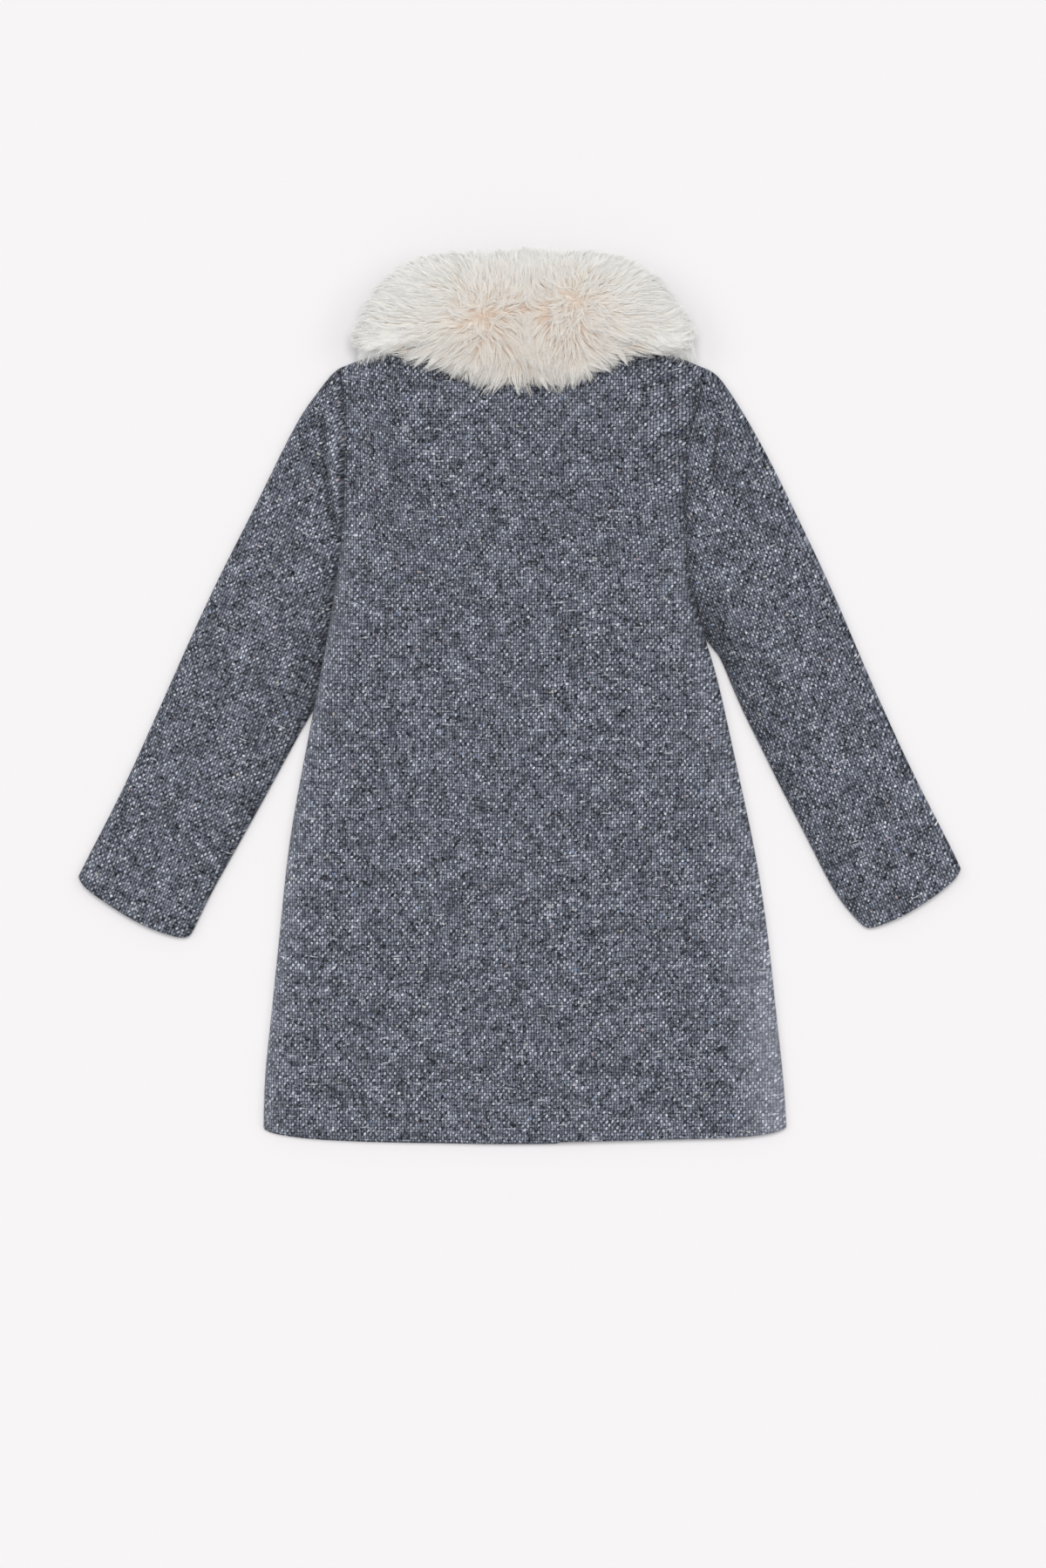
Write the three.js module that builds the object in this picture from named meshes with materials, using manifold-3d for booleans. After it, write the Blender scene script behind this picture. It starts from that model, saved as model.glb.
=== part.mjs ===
// A child's tweed coat with a fur collar, laid face down on a flat surface, in millimetres.
// While it is drawn, x runs across from the centre back line, y runs up from the hem and z is height.
// Left and right are those of someone who looks down on the back of the coat.
import * as THREE from "three";
import { mergeVertices } from "three/addons/utils/BufferGeometryUtils.js";
import Module from "manifold-3d";

// Driving dimensions
const CLOTH = 3; // tweed with the layers fused behind it
const SEAM = 0.3; // parting between two pieces that are sewn together
const LAYER_GAP = 2.8; // between the fronts and the back, where two layers lie
const LAP_GAP = 0.4; // between the two fronts where they overlap
const ROLL = 13; // how far in from a folded edge the cloth is still rounding over
const OVERLAP_REACH = 31; // how far each front passes the centre
const FRONT_DROP = 1.2; // the left front shows this much below the back
const BACK_BULGE = 1.3; // the back is raised this much over the overlapped fronts
const BAND = { flat: 34, end: 84 }; // half widths of that raised stretch
const BUTTON = { radius: 10, thick: 2.5, dish: 0.7, rim: 2, hole: 1, holeOffset: 2.4, sides: 16 };
const BUTTON_HEIGHTS = [170, 270, 370, 470]; // above the hem, all on the centre line
const PLACKET = { flat: 14, end: 64, start: 50, full: 148 }; // the fronts stand on the buttons here
const WING = { lift: 12.3, inner: 98, outer: 150, start: 478, full: 580 }; // the collar lifts the fronts here
const SLEEVE_GAP = 2.8; // between the two layers of a sleeve
const SLEEVE_HEAD = { puff: 3.2, run: 150 }; // padding at the top of a sleeve, over a plain inside
const SEAM_DIP = { depth: 1.2, width: 6 }; // the cloth dips towards an armhole seam
const NECK_SLOT = { low: 16.4, high: 19.8, halfWidth: 71 }; // between the back and the front of the collar
const COLLAR_SPLIT = 1.2; // between the two ends of the collar at the front
const CLEAR = 0.4; // the collar stays this far from the cloth
const SIDE_RUN = 482; // nominal length of a side, hem to underarm
const ARM_RUN = 176; // nominal length of an armhole, underarm to shoulder
const BODY_UP = SIDE_RUN + ARM_RUN;

// The folded sides of the body from the hem to the underarm, as distances from the centre line.
const SIDES = [
  { up: 13.5, left: 224, right: 226 },
  { up: 25, left: 227, right: 227 },
  { up: 44, left: 225, right: 225 },
  { up: 81, left: 220, right: 220 },
  { up: 137, left: 214.5, right: 214.5 },
  { up: 193, left: 208.5, right: 208 },
  { up: 250, left: 203, right: 199 },
  { up: 306, left: 193.5, right: 187 },
  { up: 343, left: 186, right: 178.5 },
  { up: 368, left: 181.5, right: 173.5 },
  { up: 400, left: 175.5, right: 166.5 },
  { up: 426, left: 171, right: 159.5 },
  { up: 449, left: 166.5, right: 150.5 },
  { up: 470, left: 163, right: 144.5 },
  { up: 492, left: 160, right: 141 },
];
const ARMHOLES = [
  { up: 492, left: 160, right: 141 },
  { up: 512, left: 157.5, right: 139.2 },
  { up: 540, left: 155, right: 138.2 },
  { up: 575, left: 154.2, right: 138.8 },
  { up: 608, left: 153.8, right: 141.5 },
  { up: 637, left: 154.6, right: 147.5 },
  { up: 666, left: 157.5, right: 154.5 },
];
const HEM = [
  { across: -224, up: 13.5 },
  { across: -216, up: 9.7 },
  { across: -205, up: 7.4 },
  { across: -188, up: 5.2 },
  { across: -150, up: 2.8 },
  { across: -80, up: 1.2 },
  { across: 0, up: 0.5 },
  { across: 80, up: 2 },
  { across: 150, up: 3.8 },
  { across: 190, up: 5.2 },
  { across: 206, up: 7.2 },
  { across: 218, up: 9.7 },
  { across: 226, up: 13.5 },
];
const NECK_POINT = { across: 73, up: 700 }; // where a shoulder seam meets the collar
const BACK_NECK = 690; // height of the back neck seam on the centre line
const FRONT_NECK = 628; // height of the front neck seam there

// Sleeves. Their outer edges run from the shoulder tip to the cuff and their inner edges from the underarm to the cuff.
// The first four inner rows lie against the side of the body. fan says how much slower the inner edge starts.
const SLEEVES = {
  left: {
    side: -1,
    fan: 1.73,
    outer: [
      { across: 157.9, up: 666.3 },
      { across: 164.5, up: 661.5 },
      { across: 176, up: 647 },
      { across: 192, up: 625 },
      { across: 211.5, up: 587 },
      { across: 229.5, up: 550 },
      { across: 267.5, up: 475 },
      { across: 301.5, up: 400 },
      { across: 335, up: 325 },
      { across: 353, up: 287 },
      { across: 373.5, up: 248 },
      { across: 382, up: 231 },
    ],
    inner: [
      { across: 160.5, up: 491 },
      { across: 164.8, up: 470 },
      { across: 172.8, up: 426 },
      { across: 177.4, up: 400 },
      { across: 184, up: 368 },
      { across: 197, up: 343.5 },
      { across: 217.5, up: 306 },
      { across: 238, up: 268.5 },
      { across: 259.5, up: 231 },
      { across: 277, up: 197 },
      { across: 282.5, up: 185 },
    ],
    cuff: [
      { across: 382, up: 231 },
      { across: 376.5, up: 221.5 },
      { across: 361.5, up: 211.5 },
      { across: 339, up: 197.5 },
      { across: 316.5, up: 187 },
      { across: 300, up: 181 },
      { across: 289, up: 180 },
      { across: 282.5, up: 185 },
    ],
  },
  right: {
    side: 1,
    fan: 2.07,
    outer: [
      { across: 154.9, up: 667.3 },
      { across: 165.8, up: 661.5 },
      { across: 181, up: 640 },
      { across: 190.5, up: 625 },
      { across: 211.5, up: 587 },
      { across: 229.5, up: 550 },
      { across: 265, up: 475 },
      { across: 297, up: 400 },
      { across: 331, up: 325 },
      { across: 350, up: 287 },
      { across: 369, up: 250 },
      { across: 375.5, up: 236 },
    ],
    inner: [
      { across: 141.5, up: 491 },
      { across: 146.2, up: 470 },
      { across: 152.4, up: 449 },
      { across: 162.2, up: 426 },
      { across: 169.5, up: 416 },
      { across: 183, up: 381 },
      { across: 202, up: 343.5 },
      { across: 220, up: 306 },
      { across: 240, up: 268.5 },
      { across: 258, up: 231 },
      { across: 277, up: 200 },
      { across: 289, up: 189 },
    ],
    cuff: [
      { across: 375.5, up: 236 },
      { across: 371, up: 227.5 },
      { across: 351, up: 211.5 },
      { across: 336, up: 202.5 },
      { across: 321, up: 194.3 },
      { across: 306, up: 188.3 },
      { across: 296, up: 185.6 },
      { across: 289, up: 189 },
    ],
  },
};

// Soft creases at the tops of the sleeves, as troughs from one point to another.
const CREASES = [
  { fromX: -177, fromY: 640, toX: -165, toY: 545, width: 5, depth: 2.2 },
  { fromX: 165, fromY: 640, toX: 163, toY: 565, width: 5, depth: 2 },
  { fromX: -172, fromY: 505, toX: -186, toY: 400, width: 7, depth: 1.8 },
  { fromX: 155, fromY: 500, toX: 172, toY: 430, width: 7, depth: 1.8 },
];

// The fur collar seen from above, and the part of it that lies under the fronts.
const COLLAR_TOP = {
  middle: 27, // height of its widest level
  low: 8,
  high: 52,
  lobe: { across: 62, width: 58, extra: 5 }, // it stands higher on each side of the centre back
  fullness: { above: 3, below: 6 },
  centreUp: 709,
  outline: [
    { across: -141, up: 679 },
    { across: -145, up: 692 },
    { across: -136, up: 716 },
    { across: -122, up: 735 },
    { across: -104, up: 751 },
    { across: -76, up: 761 },
    { across: -38, up: 763 },
    { across: 0, up: 765 },
    { across: 38, up: 764 },
    { across: 76, up: 761 },
    { across: 102, up: 750 },
    { across: 121, up: 734 },
    { across: 135, up: 714 },
    { across: 144, up: 695 },
    { across: 140, up: 680 },
    { across: 114, up: 681 },
    { across: 92, up: 676 },
    { across: 61, up: 664 },
    { across: 30, up: 652 },
    { across: 0, up: 653 },
    { across: -30, up: 652 },
    { across: -61, up: 663 },
    { across: -92, up: 675 },
    { across: -114, up: 681 },
  ],
};
const COLLAR_UNDER = {
  middle: 11,
  low: -6, // cut off level with the floor
  high: 19.5,
  lobe: { across: 0, width: 1, extra: 0 },
  fullness: { above: 5, below: 8 },
  centreUp: 655,
  outline: [
    { across: 0, up: 558 },
    { across: 46, up: 560 },
    { across: 84, up: 588 },
    { across: 106, up: 632 },
    { across: 120, up: 672 },
    { across: 136, up: 690 },
    { across: 132, up: 714 },
    { across: 112, up: 736 },
    { across: 78, up: 748 },
    { across: 40, up: 744 },
    { across: 0, up: 738 },
    { across: -40, up: 744 },
    { across: -78, up: 748 },
    { across: -112, up: 736 },
    { across: -132, up: 714 },
    { across: -136, up: 690 },
    { across: -120, up: 672 },
    { across: -106, up: 632 },
    { across: -84, up: 588 },
    { across: -46, up: 560 },
  ],
};

const step = (low, high, value) => THREE.MathUtils.smoothstep(value, low, high);
const spread = (from, to, count) => Array.from({ length: count + 1 }, (_, i) => from + ((to - from) * i) / count);
const flatCurve = (rows, closed = false) =>
  new THREE.CatmullRomCurve3(
    rows.map((row) => new THREE.Vector3(row.across, row.up, 0)),
    closed,
    "centripetal",
  );
const edgeCurve = (rows, name) => {
  const side = name === "left" ? -1 : 1;
  return flatCurve(rows.map((row) => ({ across: side * row[name], up: row.up })));
};

// Heights of the layers

// How far a point lies inside the stretch that the collar lifts: 1 over the collar, 0 well clear of it.
const overCollar = (x, y) => (1 - step(WING.inner, WING.outer, Math.abs(x))) * step(WING.start, WING.full, y);

// Underside of the outermost front, which rests on the floor, on the buttons and on the collar.
function underside(x, y) {
  const lifted = overCollar(x, y);
  const across = 1 - step(PLACKET.flat, PLACKET.end, Math.abs(x));
  const along = step(PLACKET.start, PLACKET.full, y);
  return WING.lift * lifted + (BUTTON.thick + SEAM) * across * along * (1 - lifted);
}

// Underside of the left front, which climbs over the edge of the right one.
const leftUnderside = (x, y) =>
  underside(x, y) + (CLOTH + LAP_GAP) * step(-OVERLAP_REACH - 26, -OVERLAP_REACH - 4, x);

// Inside face of the back, which lies on both fronts.
const backInside = (x, y) =>
  underside(x, y) + CLOTH + LAYER_GAP + BACK_BULGE * (1 - step(BAND.flat, BAND.end, Math.abs(x)));

// Level of the fold between a front and the back.
const foldLevel = (x, y) => underside(x, y) + CLOTH + LAYER_GAP / 2;

function creaseDepth(x, y) {
  return CREASES.reduce((sum, crease) => {
    const line = new THREE.Line3(
      new THREE.Vector3(crease.fromX, crease.fromY, 0),
      new THREE.Vector3(crease.toX, crease.toY, 0),
    );
    const here = new THREE.Vector3(x, y, 0);
    const along = line.closestPointToPointParameter(here, true);
    const away = line.at(along, new THREE.Vector3()).distanceTo(here);
    const taper = 0.25 + 0.75 * Math.sin(Math.PI * along);
    return sum + crease.depth * taper * Math.exp(-((away / crease.width) ** 2));
  }, 0);
}

// 0 at a folded edge, rising to 1 where the cloth lies flat.
const rounding = (distance, roll) =>
  distance >= roll ? 1 : Math.sqrt(1 - ((roll - Math.max(distance, 0)) / roll) ** 2);

// The inner face of a folded wall starts one cloth in from the edge and meets the outer one's spacing further in.
const tuckIn = (distance, inset) => {
  const meet = ROLL + 8;
  return distance >= meet ? distance : inset + distance * (1 - inset / meet);
};

// Panels of the body

const sideCurves = { left: edgeCurve(SIDES, "left"), right: edgeCurve(SIDES, "right") };
const armCurves = { left: edgeCurve(ARMHOLES, "left"), right: edgeCurve(ARMHOLES, "right") };
const hemCurve = flatCurve(HEM);

function bodyEdge(name, height) {
  if (height <= SIDE_RUN) return sideCurves[name].getPointAt(height / SIDE_RUN);
  return armCurves[name].getPointAt((height - SIDE_RUN) / ARM_RUN);
}
const shoulderTip = (name) => bodyEdge(name, BODY_UP);
const neckPoint = (side) => new THREE.Vector3(side * NECK_POINT.across, NECK_POINT.up, 0);

// A point of the hem by its distance across.
function hemPoint(x) {
  const after = HEM.findIndex((row) => row.across >= x);
  const found = hemCurve.getPoint(Math.max(after, 1) / (HEM.length - 1));
  let low = Math.max(after - 1, 0) / (HEM.length - 1);
  let high = Math.max(after, 1) / (HEM.length - 1);
  for (let i = 0; i < 24; i += 1) {
    const middle = (low + high) / 2;
    hemCurve.getPoint(middle, found);
    if (found.x < x) low = middle;
    else high = middle;
  }
  return found;
}

const shoulderRun = NECK_POINT.across + 16; // nominal length of a shoulder seam
const backNeckCurve = flatCurve([
  { across: -NECK_POINT.across, up: NECK_POINT.up },
  { across: -NECK_POINT.across * 0.7, up: BACK_NECK + 3.5 },
  { across: 0, up: BACK_NECK },
  { across: NECK_POINT.across * 0.7, up: BACK_NECK + 3.5 },
  { across: NECK_POINT.across, up: NECK_POINT.up },
]);
const frontNeckCurve = flatCurve([
  { across: -NECK_POINT.across, up: NECK_POINT.up },
  { across: -NECK_POINT.across * 0.93, up: 668 },
  { across: -NECK_POINT.across * 0.6, up: 638 },
  { across: -OVERLAP_REACH * 0.6, up: FRONT_NECK + 2 },
  { across: 0, up: FRONT_NECK },
  { across: OVERLAP_REACH * 0.6, up: FRONT_NECK + 2 },
  { across: NECK_POINT.across * 0.6, up: 638 },
  { across: NECK_POINT.across * 0.93, up: 668 },
  { across: NECK_POINT.across, up: NECK_POINT.up },
]);

// A surface stretched between four edges, each a function of 0 to 1.
function patch(left, right, bottom, top) {
  const corners = [bottom(0), bottom(1), top(0), top(1)];
  return (across, up) => {
    const point = left(up).multiplyScalar(1 - across).addScaledVector(right(up), across);
    point.addScaledVector(bottom(across), 1 - up).addScaledVector(top(across), up);
    point.addScaledVector(corners[0], -(1 - across) * (1 - up));
    point.addScaledVector(corners[1], -across * (1 - up));
    point.addScaledVector(corners[2], -(1 - across) * up);
    point.addScaledVector(corners[3], -across * up);
    return point;
  };
}

const backNeckRun = 2 * NECK_POINT.across;
const backAcross = 2 * shoulderRun + backNeckRun;
function backTop(fraction) {
  const run = fraction * backAcross;
  if (run < shoulderRun) return shoulderTip("left").lerp(neckPoint(-1), run / shoulderRun);
  if (run > backAcross - shoulderRun)
    return shoulderTip("right").lerp(neckPoint(1), (backAcross - run) / shoulderRun);
  return backNeckCurve.getPointAt((run - shoulderRun) / backNeckRun);
}
const backPatch = patch(
  (up) => bodyEdge("left", up * BODY_UP),
  (up) => bodyEdge("right", up * BODY_UP),
  (across) => hemPoint(THREE.MathUtils.lerp(HEM[0].across, HEM[HEM.length - 1].across, across)),
  backTop,
);

// A front runs from its side seam to its free edge past the centre.
const frontNeckRun = 128;
const frontAcross = shoulderRun + frontNeckRun;
function frontPatch(name) {
  const side = name === "left" ? -1 : 1;
  const freeEdge = -side * OVERLAP_REACH;
  const hemDrop = new THREE.Vector3(0, name === "left" ? -FRONT_DROP : 0, 0);
  const corner = side * SIDES[0][name];
  const neckEnd = step(0, 1, 0) + frontNeckAt(side, freeEdge);
  return patch(
    (up) => bodyEdge(name, up * BODY_UP).addScaledVector(hemDrop, 1 - Math.min(1, up * 20)),
    (up) => hemPoint(freeEdge).add(hemDrop).lerp(frontNeckCurve.getPointAt(neckEnd), up),
    (across) => hemPoint(THREE.MathUtils.lerp(corner, freeEdge, across)).add(hemDrop),
    (across) => {
      const run = across * frontAcross;
      if (run < shoulderRun) return shoulderTip(name).lerp(neckPoint(side), run / shoulderRun);
      const start = side < 0 ? 0 : 1;
      return frontNeckCurve.getPointAt(THREE.MathUtils.lerp(start, neckEnd, (run - shoulderRun) / frontNeckRun));
    },
  );
}

// Where along the front neck seam a free edge ends, as a share of its length.
function frontNeckAt(side, freeEdge) {
  const shares = spread(0, 1, 400);
  return shares.find((share) => frontNeckCurve.getPointAt(share).x >= freeEdge);
}

// A closed wall between an outer and an inner grid of points. A ring joins its last column to its first.
function wall(outer, inner, ring = false) {
  const rows = outer.length;
  const columns = outer[0].length;
  const points = [...outer.flat(), ...inner.flat()];
  const at = (layer, row, column) => layer * rows * columns + row * columns + (column % columns);
  const faces = [];
  const quad = (a, b, c, d) => faces.push(a, b, c, a, c, d);
  const last = ring ? columns : columns - 1;
  for (let row = 0; row < rows - 1; row += 1)
    for (let column = 0; column < last; column += 1) {
      quad(at(0, row, column), at(0, row, column + 1), at(0, row + 1, column + 1), at(0, row + 1, column));
      quad(at(1, row, column), at(1, row + 1, column), at(1, row + 1, column + 1), at(1, row, column + 1));
    }
  for (let column = 0; column < last; column += 1) {
    quad(at(0, 0, column + 1), at(0, 0, column), at(1, 0, column), at(1, 0, column + 1));
    quad(
      at(0, rows - 1, column),
      at(0, rows - 1, column + 1),
      at(1, rows - 1, column + 1),
      at(1, rows - 1, column),
    );
  }
  if (!ring)
    for (let row = 0; row < rows - 1; row += 1) {
      quad(at(0, row, 0), at(0, row + 1, 0), at(1, row + 1, 0), at(1, row, 0));
      quad(at(0, row + 1, last), at(0, row, last), at(1, row, last), at(1, row + 1, last));
    }
  return facingOut(points, faces);
}

// Builds a geometry and turns its faces round if they point inwards.
function facingOut(points, faces) {
  let volume = 0;
  for (let i = 0; i < faces.length; i += 3) {
    const [a, b, c] = [points[faces[i]], points[faces[i + 1]], points[faces[i + 2]]];
    volume += a.dot(new THREE.Vector3().crossVectors(b, c));
  }
  const turned = volume < 0 ? [...faces].reverse() : faces;
  const geometry = new THREE.BufferGeometry().setFromPoints(points);
  return geometry.setIndex(turned);
}

// Nominal distances of the grid lines of a panel: close together where an edge rounds over.
const EDGE_STEPS = [0, 1.4, 5.5, 14];
const mirrored = (total) => EDGE_STEPS.map((distance) => total - distance).reverse();
const SHOULDER_COLUMNS = [...EDGE_STEPS, ...spread(29, shoulderRun, 4)];
const BODY_ROWS = [
  ...spread(0, SIDE_RUN, 11),
  SIDE_RUN + 6,
  SIDE_RUN + 14,
  ...spread(SIDE_RUN + 30, BODY_UP - EDGE_STEPS[3] - 13, 6),
  ...mirrored(BODY_UP),
];

// How closed the fold is: along the sides up to the underarm, and along the shoulders up to the neck.
const sideClosed = (height) => 1 - step(SIDE_RUN, SIDE_RUN + 13, height);
const shoulderClosed = (run) => 1 - step(shoulderRun - 7, shoulderRun + 2, run);

// One panel as a wall, with its outer and inner heights where it lies flat. half is 1 above the fold and -1 below it.
// clear makes it larger outside and along its top, as the room that other pieces keep free.
function panel({ surface, across, columns, foldedRight, outerLevel, innerLevel, half }, clear = 0) {
  const beyond = (run) => {
    const tangent = surface(Math.min(1, run / across + 0.01), 1).sub(surface(Math.max(0, run / across - 0.01), 1));
    const normal = new THREE.Vector3(-tangent.y, tangent.x, 0).setLength(1.3 * clear);
    return normal.y < 0 ? normal.negate() : normal;
  };
  const sideways = (height) => {
    const up = height / BODY_UP;
    return surface(1, up).sub(surface(0.98, up)).setLength(clear);
  };
  const grid = (inside) =>
    BODY_ROWS.map((height) =>
      columns.map((run) => {
        const fromRight = across - run;
        const near = foldedRight ? Math.min(run, fromRight) : run;
        const side = sideClosed(height);
        const top = shoulderClosed(near);
        const inset = inside ? CLOTH : 0;
        const meet = ROLL + 8;
        const sideAway = tuckIn(near, inset * side);
        const topAway = tuckIn(BODY_UP - height, inset * top);
        const place = near >= meet ? run : near === run ? sideAway : across - sideAway;
        const point = surface(place / across, (BODY_UP - topAway) / BODY_UP);
        const roll = inside ? ROLL - CLOTH : ROLL;
        const sideRound = 1 - side * (1 - rounding(sideAway - inset * side, roll));
        const topRound = 1 - top * (1 - rounding(topAway - inset * top, roll));
        const fold = foldLevel(point.x, point.y) + half * (SEAM / 2);
        const level = inside ? innerLevel(point.x, point.y) : outerLevel(point.x, point.y) + half * clear;
        const dip = inside ? 0 : SEAM_DIP.depth * (1 - side) * Math.exp(-((near / SEAM_DIP.width) ** 2));
        const crease = inside || half < 0 ? 0 : creaseDepth(point.x, point.y) + dip;
        point.z = THREE.MathUtils.lerp(fold, level - crease, sideRound * topRound);
        if (clear > 0 && height === BODY_UP && (!inside || top < 0.5)) point.add(beyond(run));
        if (clear > 0 && run === across) point.add(sideways(height));
        return point;
      }),
    );
  return wall(grid(false), grid(true));
}

const backPanel = {
  surface: backPatch,
  across: backAcross,
  columns: [
    ...SHOULDER_COLUMNS,
    ...spread(shoulderRun, backAcross - shoulderRun, 8).slice(1, -1),
    ...SHOULDER_COLUMNS.map((distance) => backAcross - distance).reverse(),
  ],
  foldedRight: true,
  outerLevel: (x, y) => backInside(x, y) + CLOTH,
  innerLevel: backInside,
  half: 1,
};

function frontPanel(name) {
  const outerLevel = name === "left" ? leftUnderside : underside;
  return {
    surface: frontPatch(name),
    across: frontAcross,
    columns: [...SHOULDER_COLUMNS, ...spread(shoulderRun, frontAcross, 12).slice(1)],
    foldedRight: false,
    outerLevel,
    innerLevel: (x, y) => outerLevel(x, y) + CLOTH,
    half: -1,
  };
}
const frontPanels = { left: frontPanel("left"), right: frontPanel("right") };

// Sleeves

// A flattened tube between its outer and inner edges. Its first ring follows the armhole.
function sleeveGeometry(name) {
  const { side, fan, outer, inner, cuff } = SLEEVES[name];
  const turned = (rows) => flatCurve(rows.map((row) => ({ across: side * row.across, up: row.up })));
  const outerCurve = turned(outer);
  const innerCurve = turned(inner);
  const cuffCurve = turned(cuff);
  const length = outerCurve.getLength();
  const beside = new THREE.Vector3(side * (SEAM + 0.1), 0, 0);
  const edges = (along) => [outerCurve.getPointAt(along), innerCurve.getPointAt(along ** fan)];

  // A point at a share of the way across from the outer edge, and along from the armhole.
  const place = (across, along) => {
    const [from, to] = edges(along);
    const point = from.clone().lerp(to, across);
    const [first, second] = edges(0);
    const atArmhole = armCurves[name].getPointAt(1 - across).add(beside);
    point.addScaledVector(atArmhole.sub(first.lerp(second, across)), (1 - along) ** 6);
    const [third, fourth] = edges(1);
    const atCuff = cuffCurve.getPointAt(across);
    return point.addScaledVector(atCuff.sub(third.lerp(fourth, across)), along ** 8);
  };

  // An edge is cut by its ring at a slant near the armhole, so insets along the ring are longer there.
  const slant = (along, atInner) => {
    const [from, to] = edges(along);
    const ring = to.clone().sub(from).normalize();
    const tangent = atInner ? innerCurve.getTangentAt(along ** fan) : outerCurve.getTangentAt(along);
    return 1 / Math.max(0.35, Math.abs(ring.x * tangent.y - ring.y * tangent.x));
  };

  const rings = [0, 0.012, 0.03, 0.06, 0.1, ...spread(0.15, 0.93, 11), 0.97, 1];
  const steps = [...EDGE_STEPS, ...spread(0, 1, 4).slice(1, -1), ...EDGE_STEPS.slice().reverse()];
  const middles = 3;
  const grid = (inside) =>
    rings.map((along) => {
      const [from, to] = edges(along);
      const width = from.distanceTo(to);
      const inset = inside ? CLOTH : 0;
      const roll = inside ? ROLL - CLOTH : ROLL;
      const stretch = [slant(along, false), slant(along, true)];
      const half = (above) =>
        steps.map((value, index) => {
          const atStart = index < EDGE_STEPS.length;
          const atEnd = index >= EDGE_STEPS.length + middles;
          const away = tuckIn(value, inset);
          const start = (EDGE_STEPS[3] + 5) * stretch[0];
          const end = width - (EDGE_STEPS[3] + 5) * stretch[1];
          let distance = start + (end - start) * value;
          if (atStart) distance = away * stretch[0];
          if (atEnd) distance = width - away * stretch[1];
          const point = place(distance / width, along);
          const flatness = atStart || atEnd ? rounding(away - inset, roll) : 1;
          const high = sleeveLevel(point, along, distance / width, inside, above);
          point.z = THREE.MathUtils.lerp(sleeveFold(point), high, flatness);
          return point;
        });
      const upper = half(true);
      const lower = half(false).reverse();
      return [...upper, ...lower.slice(1, -1)];
    });
  const sleeveFold = (point) => underside(point.x, point.y) + CLOTH + SLEEVE_GAP / 2;
  function sleeveLevel(point, along, across, inside, above) {
    const floor = underside(point.x, point.y);
    if (!above) return floor + (inside ? CLOTH : 0);
    const ceiling = floor + CLOTH + SLEEVE_GAP;
    if (inside) return ceiling;
    const down = along * length;
    const head = SLEEVE_HEAD.puff * Math.exp(-((down / SLEEVE_HEAD.run) ** 2)) * Math.sin(Math.PI * across) ** 0.5;
    const dip = (SEAM_DIP.depth + head) * Math.exp(-((down / SEAM_DIP.width) ** 2));
    return ceiling + CLOTH + head - dip - creaseDepth(point.x, point.y);
  }
  return wall(grid(false), grid(true), true);
}

// Collar and buttons, joined and cut as solids

const wasm = await Module();
wasm.setup();

function toSolid(geometry) {
  const bare = new THREE.BufferGeometry().setAttribute("position", geometry.getAttribute("position"));
  bare.setIndex(geometry.getIndex());
  const merged = mergeVertices(bare, 1e-4);
  return new wasm.Manifold(
    new wasm.Mesh({
      numProp: 3,
      vertProperties: new Float32Array(merged.attributes.position.array),
      triVerts: new Uint32Array(merged.index.array),
    }),
  );
}

function fromSolid(solid) {
  const mesh = solid.getMesh();
  const geometry = new THREE.BufferGeometry();
  geometry.setAttribute("position", new THREE.BufferAttribute(new Float32Array(mesh.vertProperties), 3));
  geometry.setIndex(new THREE.BufferAttribute(new Uint32Array(mesh.triVerts), 1));
  return geometry;
}

function boxSolid(low, high) {
  const size = new THREE.Vector3().subVectors(high, low);
  const centre = new THREE.Vector3().addVectors(high, low).multiplyScalar(0.5);
  return toSolid(new THREE.BoxGeometry(size.x, size.y, size.z).translate(centre.x, centre.y, centre.z));
}

// A closed puffed form over an outline, drawn as rings from its top centre to its bottom centre.
function puffed({ middle, low, high, lobe, fullness, centreUp, outline }) {
  const edge = flatCurve(outline, true);
  const centre = new THREE.Vector3(0, centreUp, 0);
  const around = 44;
  const shares = [0.35, 0.6, 0.78, 0.9, 0.97];
  const level = (point, share, above) => {
    const lobes = Math.exp(-(((Math.abs(point.x) - lobe.across) / lobe.width) ** 2)) * lobe.extra;
    const reach = above ? high + lobes - middle : low - middle;
    return middle + reach * Math.sqrt(1 - share ** (above ? fullness.above : fullness.below));
  };
  const ring = (share, above) =>
    spread(0, 1, around)
      .slice(0, -1)
      .map((fraction) => {
        const point = centre.clone().lerp(edge.getPointAt(fraction), share);
        point.z = level(point, share, above);
        return point;
      });
  const rings = [
    ...shares.map((share) => ring(share, true)),
    ring(1, true),
    ...shares.toReversed().map((share) => ring(share, false)),
  ];
  const points = rings.flat();
  const faces = [];
  for (let row = 0; row < rings.length - 1; row += 1)
    for (let column = 0; column < around; column += 1) {
      const next = (column + 1) % around;
      const [a, b] = [row * around + column, row * around + next];
      faces.push(a, b, b + around, a, b + around, a + around);
    }
  const cap = (first, above, turn) => {
    const pole = centre.clone().setZ(level(centre, 0, above));
    const index = points.push(pole) - 1;
    for (let column = 0; column < around; column += 1) {
      const pair = [first + column, first + ((column + 1) % around)];
      faces.push(index, ...(turn ? pair.reverse() : pair));
    }
  };
  cap(0, true, true);
  cap((rings.length - 1) * around, false, false);
  return toSolid(facingOut(points, faces));
}

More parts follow.
